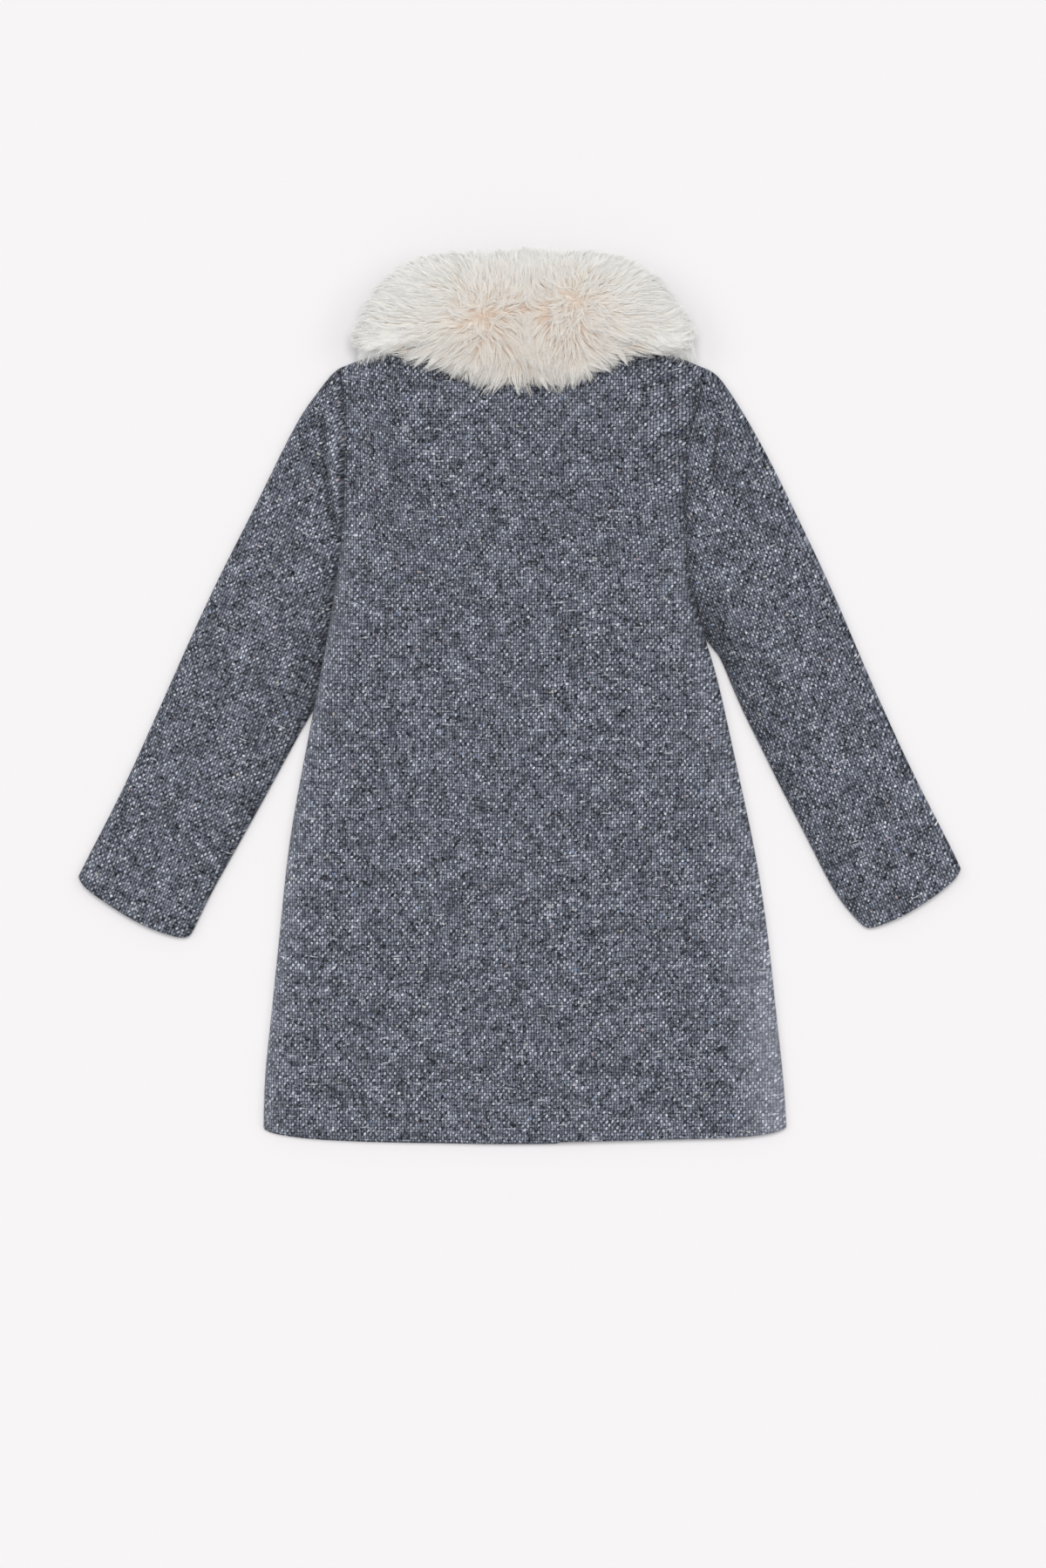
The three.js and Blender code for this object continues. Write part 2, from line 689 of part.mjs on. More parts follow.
// All the room that the laid body takes, with a little clearance, as one solid.
function bodyRoom() {
  const layer = (height) =>
    BODY_ROWS.map((row) =>
      backPanel.columns.map((run) => {
        const point = backPatch(run / backAcross, row / BODY_UP);
        const near = Math.min(run, backAcross - run);
        const folded = (near < ROLL && row < SIDE_RUN + 14) || (BODY_UP - row < ROLL && near < shoulderRun - 1);
        const middle = foldLevel(point.x, point.y);
        return point.setZ(folded ? middle + Math.sign(height(point) - middle) * SEAM : height(point));
      }),
    );
  const high = layer(({ x, y }) => backInside(x, y) + CLOTH / 2);
  const low = layer(({ x, y }) => underside(x, y) + CLOTH / 2);
  return [backPanel, frontPanels.left, frontPanels.right]
    .flatMap((piece) => [toSolid(panel(piece)), toSolid(panel(piece, CLEAR))])
    .reduce((all, solid) => all.add(solid), toSolid(wall(high, low)));
}

// The room inside the front neck seam, which the standing collar fills below the neck slot.
function neckFill() {
  const seam = frontNeckCurve.getSpacedPoints(28).map((point) => {
    const inward = new THREE.Vector3(-point.x, NECK_POINT.up + 20 - point.y, 0).setLength(2 * CLEAR);
    return point.add(inward);
  });
  const top = NECK_POINT.up + 100;
  const shape = new THREE.Shape(seam.map((point) => new THREE.Vector2(point.x, point.y)));
  shape.lineTo(NECK_POINT.across - 2, top);
  shape.lineTo(2 - NECK_POINT.across, top);
  const depth = NECK_SLOT.low + 20;
  return toSolid(new THREE.ExtrudeGeometry(shape, { depth, bevelEnabled: false }).translate(0, 0, -20));
}

function collarGeometry() {
  const far = 900;
  const floor = boxSolid(new THREE.Vector3(-far, -far, -50), new THREE.Vector3(far, far, 0));
  const slot = boxSolid(
    new THREE.Vector3(-NECK_SLOT.halfWidth, BACK_NECK - 30, NECK_SLOT.low),
    new THREE.Vector3(NECK_SLOT.halfWidth, far, NECK_SLOT.high),
  );
  const split = boxSolid(
    new THREE.Vector3(-COLLAR_SPLIT / 2, FRONT_NECK - 200, -1),
    new THREE.Vector3(COLLAR_SPLIT / 2, far, NECK_SLOT.low + 0.5),
  );
  const room = bodyRoom().subtract(neckFill());
  const fur = puffed(COLLAR_TOP).add(puffed(COLLAR_UNDER));
  const cut = fur.subtract(room).subtract(slot).subtract(split).subtract(floor);
  const pieces = cut.decompose().sort((a, b) => b.volume() - a.volume());
  return fromSolid(pieces[0].simplify(CLEAR / 4));
}

function buttonGeometry() {
  const { radius, thick, dish, rim, hole, holeOffset, sides } = BUTTON;
  const profile = [
    [0, thick],
    [radius, thick],
    [radius, 0],
    [radius - rim, 0],
    [radius - rim - 0.8, dish],
    [0, dish],
  ].map(([across, up]) => new THREE.Vector2(across, up));
  const disc = new THREE.LatheGeometry(profile.toReversed(), sides).rotateX(Math.PI / 2);
  const bodies = [-1, 1].flatMap((x) =>
    [-1, 1].map((y) => {
      const drill = new THREE.CylinderGeometry(hole, hole, 3 * thick, 5).rotateX(Math.PI / 2);
      return toSolid(drill.translate(x * holeOffset, y * holeOffset, 0));
    }),
  );
  let solid = toSolid(disc);
  if (solid.volume() < 0) throw new Error("the button is inside out");
  for (const drill of bodies) solid = solid.subtract(drill);
  return fromSolid(solid);
}

// Materials

const tweed = new THREE.MeshStandardMaterial({ color: 0x686c77, roughness: 0.95, metalness: 0 });
const fur = new THREE.MeshStandardMaterial({ color: 0xdcd6cc, roughness: 0.9, metalness: 0 });
const horn = new THREE.MeshStandardMaterial({ color: 0x3a3c42, roughness: 0.45, metalness: 0 });

const coat = new THREE.Group();
function addPiece(name, geometry, material, position = [0, 0, 0]) {
  const mesh = new THREE.Mesh(geometry, material);
  mesh.name = name;
  mesh.position.set(...position);
  coat.add(mesh);
}

addPiece("back", panel(backPanel), tweed);
addPiece("front_left", panel(frontPanels.left), tweed);
addPiece("front_right", panel(frontPanels.right), tweed);
addPiece("sleeve_left", sleeveGeometry("left"), tweed);
addPiece("sleeve_right", sleeveGeometry("right"), tweed);
addPiece("fur_collar", collarGeometry(), fur);
const button = buttonGeometry();
BUTTON_HEIGHTS.forEach((height, index) => addPiece(`button_${index + 1}`, button.clone(), horn, [0, height, 0]));

// The origin is where the middle of the coat rests on the floor.
const box = new THREE.Box3().setFromObject(coat);
const centre = box.getCenter(new THREE.Vector3());
coat.position.set(-centre.x, -centre.y, -box.min.z);

export default coat;
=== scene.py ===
from math import cos, pi, radians, sin

import bpy
import numpy as np
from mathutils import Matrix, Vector, noise
from mathutils.bvhtree import BVHTree
from mathutils.kdtree import KDTree


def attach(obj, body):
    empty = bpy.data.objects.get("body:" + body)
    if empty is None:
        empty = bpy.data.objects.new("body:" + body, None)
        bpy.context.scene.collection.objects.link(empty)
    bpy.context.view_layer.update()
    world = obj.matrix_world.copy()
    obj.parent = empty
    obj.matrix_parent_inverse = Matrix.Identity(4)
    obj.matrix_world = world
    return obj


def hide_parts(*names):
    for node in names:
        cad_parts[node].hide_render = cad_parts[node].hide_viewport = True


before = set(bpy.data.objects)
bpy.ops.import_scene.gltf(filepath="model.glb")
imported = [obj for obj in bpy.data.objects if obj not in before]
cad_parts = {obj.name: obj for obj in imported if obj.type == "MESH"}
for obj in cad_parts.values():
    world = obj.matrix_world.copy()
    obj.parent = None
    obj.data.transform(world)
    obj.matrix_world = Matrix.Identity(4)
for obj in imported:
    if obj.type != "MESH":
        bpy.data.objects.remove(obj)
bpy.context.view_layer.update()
millimetre = 0.001
print("the laid coat is loaded")


# small helpers

def linearColour(hexValue):
    channels = [int(hexValue[i:i + 2], 16) / 255 for i in (1, 3, 5)]
    return [c / 12.92 if c <= 0.04045 else ((c + 0.055) / 1.055) ** 2.4 for c in channels] + [1]


def addNode(tree, kind, inputs=None, **settings):  # inputs are values or other nodes' sockets
    node = tree.nodes.new(kind)
    for name, value in settings.items():
        setattr(node, name, value)
    for key, value in (inputs or {}).items():
        if isinstance(value, bpy.types.NodeSocket):
            tree.links.new(value, node.inputs[key])
        else:
            node.inputs[key].default_value = value
    return node


def maths(tree, operation, *values, clamp=False):
    inputs = dict(enumerate(values))
    return addNode(tree, "ShaderNodeMath", inputs, operation=operation, use_clamp=clamp).outputs[0]


def vectorMaths(tree, operation, *values, **scale):
    inputs = {**dict(enumerate(values)), **scale}
    return addNode(tree, "ShaderNodeVectorMath", inputs, operation=operation).outputs[0]


def mapRange(tree, value, ends, reach, smooth=False):  # from ends to reach, clamped
    inputs = {"Value": value, "From Min": ends[0], "From Max": ends[1]}
    inputs |= {"To Min": reach[0], "To Max": reach[1]}
    kind = "SMOOTHSTEP" if smooth else "LINEAR"
    return addNode(tree, "ShaderNodeMapRange", inputs, interpolation_type=kind).outputs[0]


def mixed(tree, share, first, second, blend="MIX"):  # of two colours, whose inputs are numbers 6 and 7
    inputs = {0: share, 6: first, 7: second}
    return addNode(tree, "ShaderNodeMix", inputs, data_type="RGBA", blend_type=blend).outputs[2]


def attributeOf(tree, name):
    return addNode(tree, "ShaderNodeAttribute", attribute_name=name).outputs["Fac"]


def newMaterial(name):
    material = bpy.data.materials.new(name)
    material.use_nodes = True
    material.node_tree.nodes.clear()
    return material, material.node_tree


def selectOnly(piece):
    bpy.ops.object.select_all(action="DESELECT")
    piece.select_set(True)
    bpy.context.view_layer.objects.active = piece


def pointsOf(mesh):
    points = np.empty(len(mesh.vertices) * 3, np.float32)
    mesh.vertices.foreach_get("co", points)
    return points.reshape(-1, 3).astype(float)


def normalsOf(mesh):
    normals = np.empty(len(mesh.vertices) * 3, np.float32)
    mesh.vertex_normals.foreach_get("vector", normals)
    return normals.reshape(-1, 3).astype(float)


def movePoints(piece, points):
    piece.data.vertices.foreach_set("co", points.astype(np.float32).ravel())
    piece.data.update()


def copyOfNode(nodeName, pieceName):  # a node's loose triangles, merged into one skin
    piece = bpy.data.objects.new(pieceName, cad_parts[nodeName].data.copy())
    bpy.context.scene.collection.objects.link(piece)
    selectOnly(piece)
    bpy.ops.object.mode_set(mode="EDIT")
    bpy.ops.mesh.select_all(action="SELECT")
    bpy.ops.mesh.remove_doubles(threshold=0.00001)
    bpy.ops.object.mode_set(mode="OBJECT")
    piece.data.materials.clear()
    return piece


def applied(piece, kind, **settings):
    selectOnly(piece)
    modifier = piece.modifiers.new(kind.title(), kind)
    for name, value in settings.items():
        setattr(modifier, name, value)
    bpy.ops.object.modifier_apply(modifier=modifier.name)


def treeOf(pieces):
    corners, faces = [], []
    for piece in pieces:
        first = len(corners)
        corners += [v.co.copy() for v in piece.data.vertices]
        faces += [[first + i for i in face.vertices] for face in piece.data.polygons]
    return BVHTree.FromPolygons(corners, faces)


# wool tweed: a hopsack of light warp over dark weft, woven from flecked woollen yarn

tweed = {
    "cell": (2.31, 2.74),  # millimetres across and along one crossing of the yarns
    "slant": 0.45,  # lean of each light float
    "bends": [(0.06, 2.0, 2.0), (0.24, 1.0, 1.6)],  # scale, detail and millimetres of the yarns' wandering
    "gap": "#282c35",
    "dark": "#41454f",
    "darkLight": "#898d9a",
    "light": "#6a6e79",
    "lightLight": "#b2b6c0",
    # painted sheen: a lighter grey mixed into the painted light along the back's side edges
    "paintedEdgeSheen": "#8b8d97",
    "grain": 1.8,  # millimetres across one fleck of lighter or darker wool
    "patches": (0.52, 1.44),  # shade of the darkest and the lightest broad patch
    "slubSize": (9, 1.5),
    "slubAbove": 0.988,  # only a cell that draws more than this has a slub
    "slubColour": "#c9ccd3",
    "hemLine": 15.0,  # millimetres from the hem's edge to the pressed line of its turning
    "nepSpacing": 19,
    "nepSize": 1.1,
    "neps": ["#7f93bd", "#d9dade", "#b9a3a3", "#14151a", "#e9eaed", "#b8b3a4"],
}


def makeTweed(name, grainAngle):
    material, tree = newMaterial(name)
    place = addNode(tree, "ShaderNodeTexCoord").outputs["Object"]
    place = addNode(tree, "ShaderNodeMapping", {
        "Vector": place, "Scale": (1000, 1000, 1000), "Rotation": (0, 0, radians(grainAngle))}).outputs[0]

    # height is unrolled into the pattern, so that turned edges keep their weave; the yarns wander a little
    placeAxes = addNode(tree, "ShaderNodeSeparateXYZ", {0: place}).outputs
    flatX = maths(tree, "MULTIPLY_ADD", placeAxes[2], 0.8, placeAxes[0])
    flatY = maths(tree, "MULTIPLY_ADD", placeAxes[2], 0.8, placeAxes[1])
    place = addNode(tree, "ShaderNodeCombineXYZ", {"X": flatX, "Y": flatY}).outputs[0]
    cloth = place
    for scale, detail, reach in tweed["bends"]:
        bend = addNode(tree, "ShaderNodeTexNoise", {"Vector": place, "Scale": scale, "Detail": detail})
        bend = vectorMaths(tree, "SUBTRACT", bend.outputs["Color"], (0.5, 0.5, 0.5))
        bend = vectorMaths(tree, "SCALE", bend, Scale=reach)
        cloth = vectorMaths(tree, "ADD", cloth, bend)
    yarns = vectorMaths(tree, "MULTIPLY", cloth, (1 / tweed["cell"][0], 1 / tweed["cell"][1], 0))
    yarnAxes = addNode(tree, "ShaderNodeSeparateXYZ", {0: yarns}).outputs

    # light warp floats and dark weft floats alternate like a chequerboard, each float slanted
    lean = maths(tree, "MULTIPLY", yarnAxes[1], 2 * pi)
    lean = maths(tree, "SINE", lean)
    column = maths(tree, "MULTIPLY_ADD", lean, tweed["slant"] / (2 * pi), yarnAxes[0])
    cell = addNode(tree, "ShaderNodeCombineXYZ", {"X": column, "Y": yarnAxes[1]}).outputs[0]
    cell = vectorMaths(tree, "FLOOR", cell)
    cellAxes = addNode(tree, "ShaderNodeSeparateXYZ", {0: cell}).outputs
    waveX = maths(tree, "MULTIPLY", column, pi)
    waveX = maths(tree, "SINE", waveX)
    waveY = maths(tree, "MULTIPLY", yarnAxes[1], pi)
    waveY = maths(tree, "SINE", waveY)
    waveY = mapRange(tree, waveY, (-0.45, 0.45), (-1.0, 1.0))  # clipped, so that floats meet end to end
    crossing = maths(tree, "MULTIPLY", waveX, waveY)
    warpMask = mapRange(tree, crossing, (0.0, 0.75), (0.0, 1.0), smooth=True)
    weftMask = mapRange(tree, crossing, (-0.05, -0.9), (0.0, 1.0), smooth=True)

    # the wool is blended from light and dark fibre, so each stretch of yarn has its own shade
    fleck = addNode(tree, "ShaderNodeTexWhiteNoise", {"Vector": cell}, noise_dimensions="2D").outputs["Value"]
    alongWarp = maths(tree, "MULTIPLY", cellAxes[0], 5.3)
    alongWarp = addNode(tree, "ShaderNodeCombineXYZ", {"X": alongWarp, "Y": yarnAxes[1]}).outputs[0]
    alongWarp = addNode(tree, "ShaderNodeTexNoise", {
        "Vector": alongWarp, "Scale": 0.6, "Detail": 2.0}, noise_dimensions="2D").outputs["Fac"]
    alongWeft = maths(tree, "MULTIPLY", cellAxes[1], 5.3)
    alongWeft = addNode(tree, "ShaderNodeCombineXYZ", {"X": yarnAxes[0], "Y": alongWeft}).outputs[0]
    alongWeft = addNode(tree, "ShaderNodeTexNoise", {
        "Vector": alongWeft, "Scale": 0.6, "Detail": 2.0}, noise_dimensions="2D").outputs["Fac"]
    warpShade = mapRange(tree, alongWarp, (0.3, 0.7), (-0.35, 0.35))
    fleckUp = maths(tree, "POWER", fleck, 1.3)
    warpShade = maths(tree, "MULTIPLY_ADD", fleckUp, 0.85, warpShade, clamp=True)
    warpColour = mixed(tree, warpShade, linearColour(tweed["light"]), linearColour(tweed["lightLight"]))
    weftShade = mapRange(tree, alongWeft, (0.3, 0.7), (-0.2, 0.4))
    weftShade = maths(tree, "MULTIPLY_ADD", fleck, 0.6, weftShade, clamp=True)
    weftColour = mixed(tree, weftShade, linearColour(tweed["dark"]), linearColour(tweed["darkLight"]))
    colour = mixed(tree, weftMask, linearColour(tweed["gap"]), weftColour)
    colour = mixed(tree, warpMask, colour, warpColour)

    # broad unevenness of a woollen cloth, and its fibre
    patchy = addNode(tree, "ShaderNodeTexNoise", {
        "Vector": place, "Scale": 0.05, "Detail": 5.0, "Roughness": 0.72})
    patchy = mapRange(tree, patchy.outputs["Fac"], (0.3, 0.7), tweed["patches"])
    grains = addNode(tree, "ShaderNodeTexVoronoi", {
        "Vector": cloth, "Scale": 1 / tweed["grain"]}, voronoi_dimensions="2D")
    grains = addNode(tree, "ShaderNodeSeparateColor", {0: grains.outputs["Color"]}).outputs[0]
    grains = maths(tree, "POWER", grains, 2.6)
    grains = maths(tree, "MULTIPLY_ADD", grains, -1.15, 1.27)  # few are very dark
    patchy = maths(tree, "MULTIPLY", patchy, grains)
    fibre = addNode(tree, "ShaderNodeTexNoise", {
        "Vector": cloth, "Scale": 1.6, "Detail": 4.0, "Roughness": 0.7}).outputs["Fac"]
    fibreShade = mapRange(tree, fibre, (0.3, 0.7), (0.75, 1.25))
    shade = maths(tree, "MULTIPLY", patchy, fibreShade)

    # an armhole seam lies in a soft valley, darkened with painted shade, and a fold in the sleeve head gets
    # painted shade in its valley and painted light on its own ridge beside it
    seam = attributeOf(tree, "seamNear")
    seam = mapRange(tree, seam, (0.0, 4.6), (0.6, 1.0), smooth=True)
    fold = attributeOf(tree, "foldSide")
    foldDepth = attributeOf(tree, "foldDepth")
    valley = maths(tree, "ABSOLUTE", fold)
    valley = mapRange(tree, valley, (6.0, 0.0), (0.0, 0.45), smooth=True)
    ridge = maths(tree, "SUBTRACT", fold, 6.0)
    ridge = maths(tree, "ABSOLUTE", ridge)
    ridge = mapRange(tree, ridge, (5.0, 0.0), (0.0, -0.2), smooth=True)
    folded = maths(tree, "ADD", valley, ridge)
    folded = maths(tree, "MULTIPLY", folded, foldDepth)
    folded = maths(tree, "SUBTRACT", 1.0, folded)
    # painted light along the back's side edges, with the painted sheen mixed in, and painted shade along the
    # sleeves' inner edges
    paintedEdges = attributeOf(tree, "paintedLightShade")
    paintedEdgeLight = maths(tree, "MAXIMUM", paintedEdges, 0.0)
    paintedEdgeShade = maths(tree, "MINIMUM", paintedEdges, 0.0)
    paintedEdgeShading = maths(tree, "MULTIPLY_ADD", paintedEdgeLight, 0.6, paintedEdgeShade)
    paintedEdgeShading = maths(tree, "ADD", paintedEdgeShading, 1.0)
    shade = maths(tree, "MULTIPLY", shade, paintedEdgeShading)
    shade = maths(tree, "MULTIPLY", shade, seam)
    shade = maths(tree, "MULTIPLY", shade, folded)
    colour = vectorMaths(tree, "SCALE", colour, Scale=shade)
    paintedEdgeSheen = maths(tree, "MULTIPLY", paintedEdgeLight, 0.42)
    colour = mixed(tree, paintedEdgeSheen, colour, linearColour(tweed["paintedEdgeSheen"]))

    # coloured neps spun into the yarn
    nepCells = addNode(tree, "ShaderNodeTexVoronoi", {
        "Vector": cloth, "Scale": 1 / tweed["nepSpacing"]}, voronoi_dimensions="2D")
    nepPick = addNode(tree, "ShaderNodeSeparateColor", {0: nepCells.outputs["Color"]}).outputs
    nepSize = mapRange(tree, nepPick[0], (0.0, 1.0), (0.25, 1.0))
    nepReach = maths(tree, "MULTIPLY", nepSize, tweed["nepSize"] / tweed["nepSpacing"])
    nep = maths(tree, "LESS_THAN", nepCells.outputs["Distance"], nepReach)
    nepRamp = addNode(tree, "ShaderNodeValToRGB", {0: nepPick[2]})
    nepRamp.color_ramp.interpolation = "CONSTANT"
    while len(nepRamp.color_ramp.elements) < len(tweed["neps"]):
        nepRamp.color_ramp.elements.new(0.5)
    for index, hexValue in enumerate(tweed["neps"]):
        nepRamp.color_ramp.elements[index].position = index / len(tweed["neps"])
        nepRamp.color_ramp.elements[index].color = linearColour(hexValue)
    nepStrength = maths(tree, "MULTIPLY", nep, 0.75)
    colour = mixed(tree, nepStrength, colour, nepRamp.outputs[0])

    # a few slubs: thick light stretches of one weft yarn
    slubSpace = vectorMaths(tree, "MULTIPLY", cloth, (1 / tweed["slubSize"][0], 1 / tweed["slubSize"][1], 1))
    slubCells = addNode(tree, "ShaderNodeTexVoronoi", {
        "Vector": slubSpace, "Scale": 1.0}, voronoi_dimensions="2D")
    slubPick = addNode(tree, "ShaderNodeSeparateColor", {0: slubCells.outputs["Color"]}).outputs
    slubChosen = maths(tree, "GREATER_THAN", slubPick[0], tweed["slubAbove"])
    slub = mapRange(tree, slubCells.outputs["Distance"], (0.5, 0.25), (0.0, 0.55))
    slub = maths(tree, "MULTIPLY", slub, slubChosen)
    colour = mixed(tree, slub, colour, linearColour(tweed["slubColour"]))

    # pressed line of the hem turning
    hemUp = attributeOf(tree, "hemUp")
    hemLine = maths(tree, "SUBTRACT", hemUp, tweed["hemLine"])
    hemLine = maths(tree, "ABSOLUTE", hemLine)
    hemLine = mapRange(tree, hemLine, (1.6, 0.0), (0.0, 0.8), smooth=True)

    # relief: yarns stand up, fibre stands off them, the hem line is pressed in
    relief = maths(tree, "MAXIMUM", warpMask, weftMask)
    relief = maths(tree, "MULTIPLY_ADD", fibre, 0.6, relief)
    relief = maths(tree, "SUBTRACT", relief, hemLine)
    bump = addNode(tree, "ShaderNodeBump", {"Height": relief, "Strength": 0.6, "Distance": 0.0003}).outputs[0]
    shader = addNode(tree, "ShaderNodeBsdfPrincipled", {
        "Base Color": colour, "Roughness": 0.92, "IOR": 1.45, "Specular IOR Level": 0.25, "Normal": bump,
        "Sheen Weight": 0.5, "Sheen Roughness": 0.4, "Sheen Tint": linearColour("#c9cfdd")})
    addNode(tree, "ShaderNodeOutputMaterial", {"Surface": shader.outputs[0]})
    return material


bodyTweed = makeTweed("woollen tweed, straight grain", 0)
leftSleeveTweed = makeTweed("woollen tweed, left sleeve grain", 23.2)
rightSleeveTweed = makeTweed("woollen tweed, right sleeve grain", -25.1)
print("the tweed is woven")


# cloth pieces: each follows its solid, smoothed, with the slight unevenness of laid wool

clothPieces = {
    "tweedBack": {
        "node": "back", "material": bodyTweed,
        "flat": (0.456, 0.701), "area": 0.255, "restsOn": ["front_left", "front_right"]},
    "tweedFrontLeft": {
        "node": "front_left", "material": bodyTweed,
        "flat": (0.257, 0.703), "area": 0.145, "restsOn": ["front_right"]},
    "tweedFrontRight": {
        "node": "front_right", "material": bodyTweed,
        "flat": (0.259, 0.702), "area": 0.145, "restsOn": ["button_1"]},
    "tweedSleeveLeft": {
        "node": "sleeve_left", "material": leftSleeveTweed,
        "flat": (0.3, 0.49), "area": 0.095, "restsOn": []},
    "tweedSleeveRight": {
        "node": "sleeve_right", "material": rightSleeveTweed,
        "flat": (0.3, 0.49), "area": 0.095, "restsOn": []},
}
clothLevels = 2  # subdivisions of each cloth piece
drawnWidth = 22  # millimetres of a sleeve, from its inner edge, that give way when it is drawn in
cuffReach = 50  # millimetres of a sleeve, from its cuff, that the worn cuff's extra length takes up
hemReach = 30  # millimetres of the cloth, from its hem, that the hem's hanging takes up
sewnGap = 0.0011  # a sleeve's edge this near the body is drawn up to it
sewnRest = 0.00006  # and this little is left between them
# where a sleeve lies against the body: height, inner edge and how far it is drawn in, all in millimetres
underarms = {
    "tweedSleeveLeft": [
        (108.9, -157.3, 0.4), (87.9, -161.6, 1.7), (43.9, -169.6, 1.8),
        (17.9, -174.2, 1.9), (-11, -180.3, 2.5), (-31, -189, 0)],
    "tweedSleeveRight": [
        (108.9, 144.8, 0.4), (87.9, 149.5, 1.7), (66.9, 155.7, 1.9), (45.5, 165, 2.7), (36, 171, 0)],
}
# ends of each cuff, outer and inner, and how much longer the worn cuff hangs there, in millimetres
cuffs = {
    "tweedSleeveLeft": ((-378.8, -151.2), (-279.3, -197.2), (3.0, 5.2)),
    "tweedSleeveRight": ((378.8, -146.2), (292.3, -193.2), (0.8, 2.4)),
}
# the inner edge of each sleeve, darkened with painted shade where the body shades it, from the underarm to
# the cuff in millimetres
innerEdges = {
    "tweedSleeveLeft": [
        (-157.3, 108.9), (-161.6, 87.9), (-169.6, 43.9), (-174.2, 17.9), (-180.8, -14.2),
        (-193.8, -38.7), (-214.3, -76.2), (-234.8, -113.7), (-256.3, -151.2), (-273.8, -185.2)],
    "tweedSleeveRight": [
        (144.8, 108.9), (149.5, 87.9), (155.7, 66.9), (165.5, 43.9), (172.8, 33.9), (186.3, -1.2),
        (205.3, -38.7), (223.3, -76.2), (243.3, -113.7), (261.3, -151.2), (280.3, -182.2)],
}
hemDrop = 1.1  # millimetres that the hem hangs lower
unevenness = {"height": 0.0005, "size": 0.055, "fineHeight": 0.00022, "fineSize": 0.017}


def roughen(piece):  # raises the upper face only, so no piece moves towards a neighbour below it
    points, normals = pointsOf(piece.data), normalsOf(piece.data)
    upward = np.clip((normals[:, 2] - 0.3) / 0.5, 0, 1)
    for index in np.nonzero(upward > 0)[0]:
        at = Vector(points[index])
        lift = unevenness["height"] * noise.noise(at / unevenness["size"])
        lift += unevenness["fineHeight"] * noise.noise(at / unevenness["fineSize"])
        points[index, 2] += upward[index] * lift
    movePoints(piece, points)


def drawIn(piece):  # lays the inner edge of a sleeve against the body
    rows = np.array(underarms[piece.name])[::-1]
    points = pointsOf(piece.data) / millimetre
    side = np.sign(rows[0, 1])
    inner = np.interp(points[:, 1], rows[:, 0], rows[:, 1])
    pull = np.interp(points[:, 1], rows[:, 0], rows[:, 2], left=0, right=0)
    share = np.clip(1 - side * (points[:, 0] - inner) / drawnWidth, 0, 1) ** 2
    points[:, 0] -= side * pull * share
    movePoints(piece, points * millimetre)


def lengthenCuff(piece):  # lets the cuff hang past its solid, more at its inner end
    outer, inner, amounts = cuffs[piece.name]
    outer, inner = np.array(outer), np.array(inner)
    across = (inner - outer) / np.linalg.norm(inner - outer)
    outward = np.array([across[1], -across[0]])
    outward *= -np.sign(outward[1])
    points = pointsOf(piece.data) / millimetre
    offset = points[:, :2] - outer
    share = np.clip(1.5 * (offset @ across) / np.linalg.norm(inner - outer), 0, 1)
    amount = amounts[0] + (amounts[1] - amounts[0]) * share
    points[:, :2] += (amount * np.clip(1 + (offset @ outward) / cuffReach, 0, 1) ** 2)[:, None] * outward
    movePoints(piece, points * millimetre)


def sewUp(piece, neighbours):  # closes the parting that the solids keep along an armhole
    tree = treeOf(neighbours)
    points = pointsOf(piece.data)
    for index, point in enumerate(points):
        nearest, _, _, gap = tree.find_nearest(Vector(point), sewnGap)
        if nearest is not None and gap > sewnRest:
            points[index] += (np.array(nearest) - point) * (1 - sewnRest / gap)
    movePoints(piece, points)


# points along each armhole and each sleeve-head fold, seen from above, shoulder first
armholes = [
    [(-0.1535, 0.2816), (-0.1513, 0.2539), (-0.1513, 0.1954), (-0.1513, 0.1579), (-0.1543, 0.1226),
     (-0.1595, 0.0920), (-0.1632, 0.0669), (-0.1678, 0.0439), (-0.1723, 0.0179), (-0.1783, -0.0142)],
    [(0.1540, 0.2726), (0.1465, 0.2389), (0.1428, 0.2164), (0.1428, 0.1879), (0.1413, 0.1601),
     (0.1428, 0.1129), (0.1465, 0.0941), (0.1530, 0.0669), (0.1628, 0.0439)],
]
sleeveFolds = [
    [(-0.1723, 0.2524), (-0.1708, 0.2389), (-0.1670, 0.1879), (-0.1625, 0.1616), (-0.1558, 0.1316)],
    [(0.1705, 0.2524), (0.1690, 0.2300), (0.1668, 0.2014), (0.1640, 0.1804)],
]
farAway = 50.0  # millimetres, what a point that no seam or fold reaches is given


def setAttribute(piece, name, values):
    piece.data.attributes.new(name, "FLOAT", "POINT").data.foreach_set("value", values.astype(np.float32))


# how far each point lies from a line seen from above, in millimetres, how far along it and on which side
def besideLine(points, line):
    nearest, share, sides = np.full(len(points), 1e3), np.zeros(len(points)), np.zeros(len(points))
    line = np.array(line)
    for index, (start, end) in enumerate(zip(line, line[1:])):
        run = end - start
        part = np.clip(((points[:, :2] - start) @ run) / (run @ run), 0, 1)
        offset = points[:, :2] - (start + part[:, None] * run)
        gap = np.linalg.norm(offset, axis=1) / millimetre
        closer = gap < nearest
        nearest[closer], share[closer] = gap[closer], (index + part[closer]) / (len(line) - 1)
        sides[closer] = offset[closer, 0]
    return nearest, share, sides


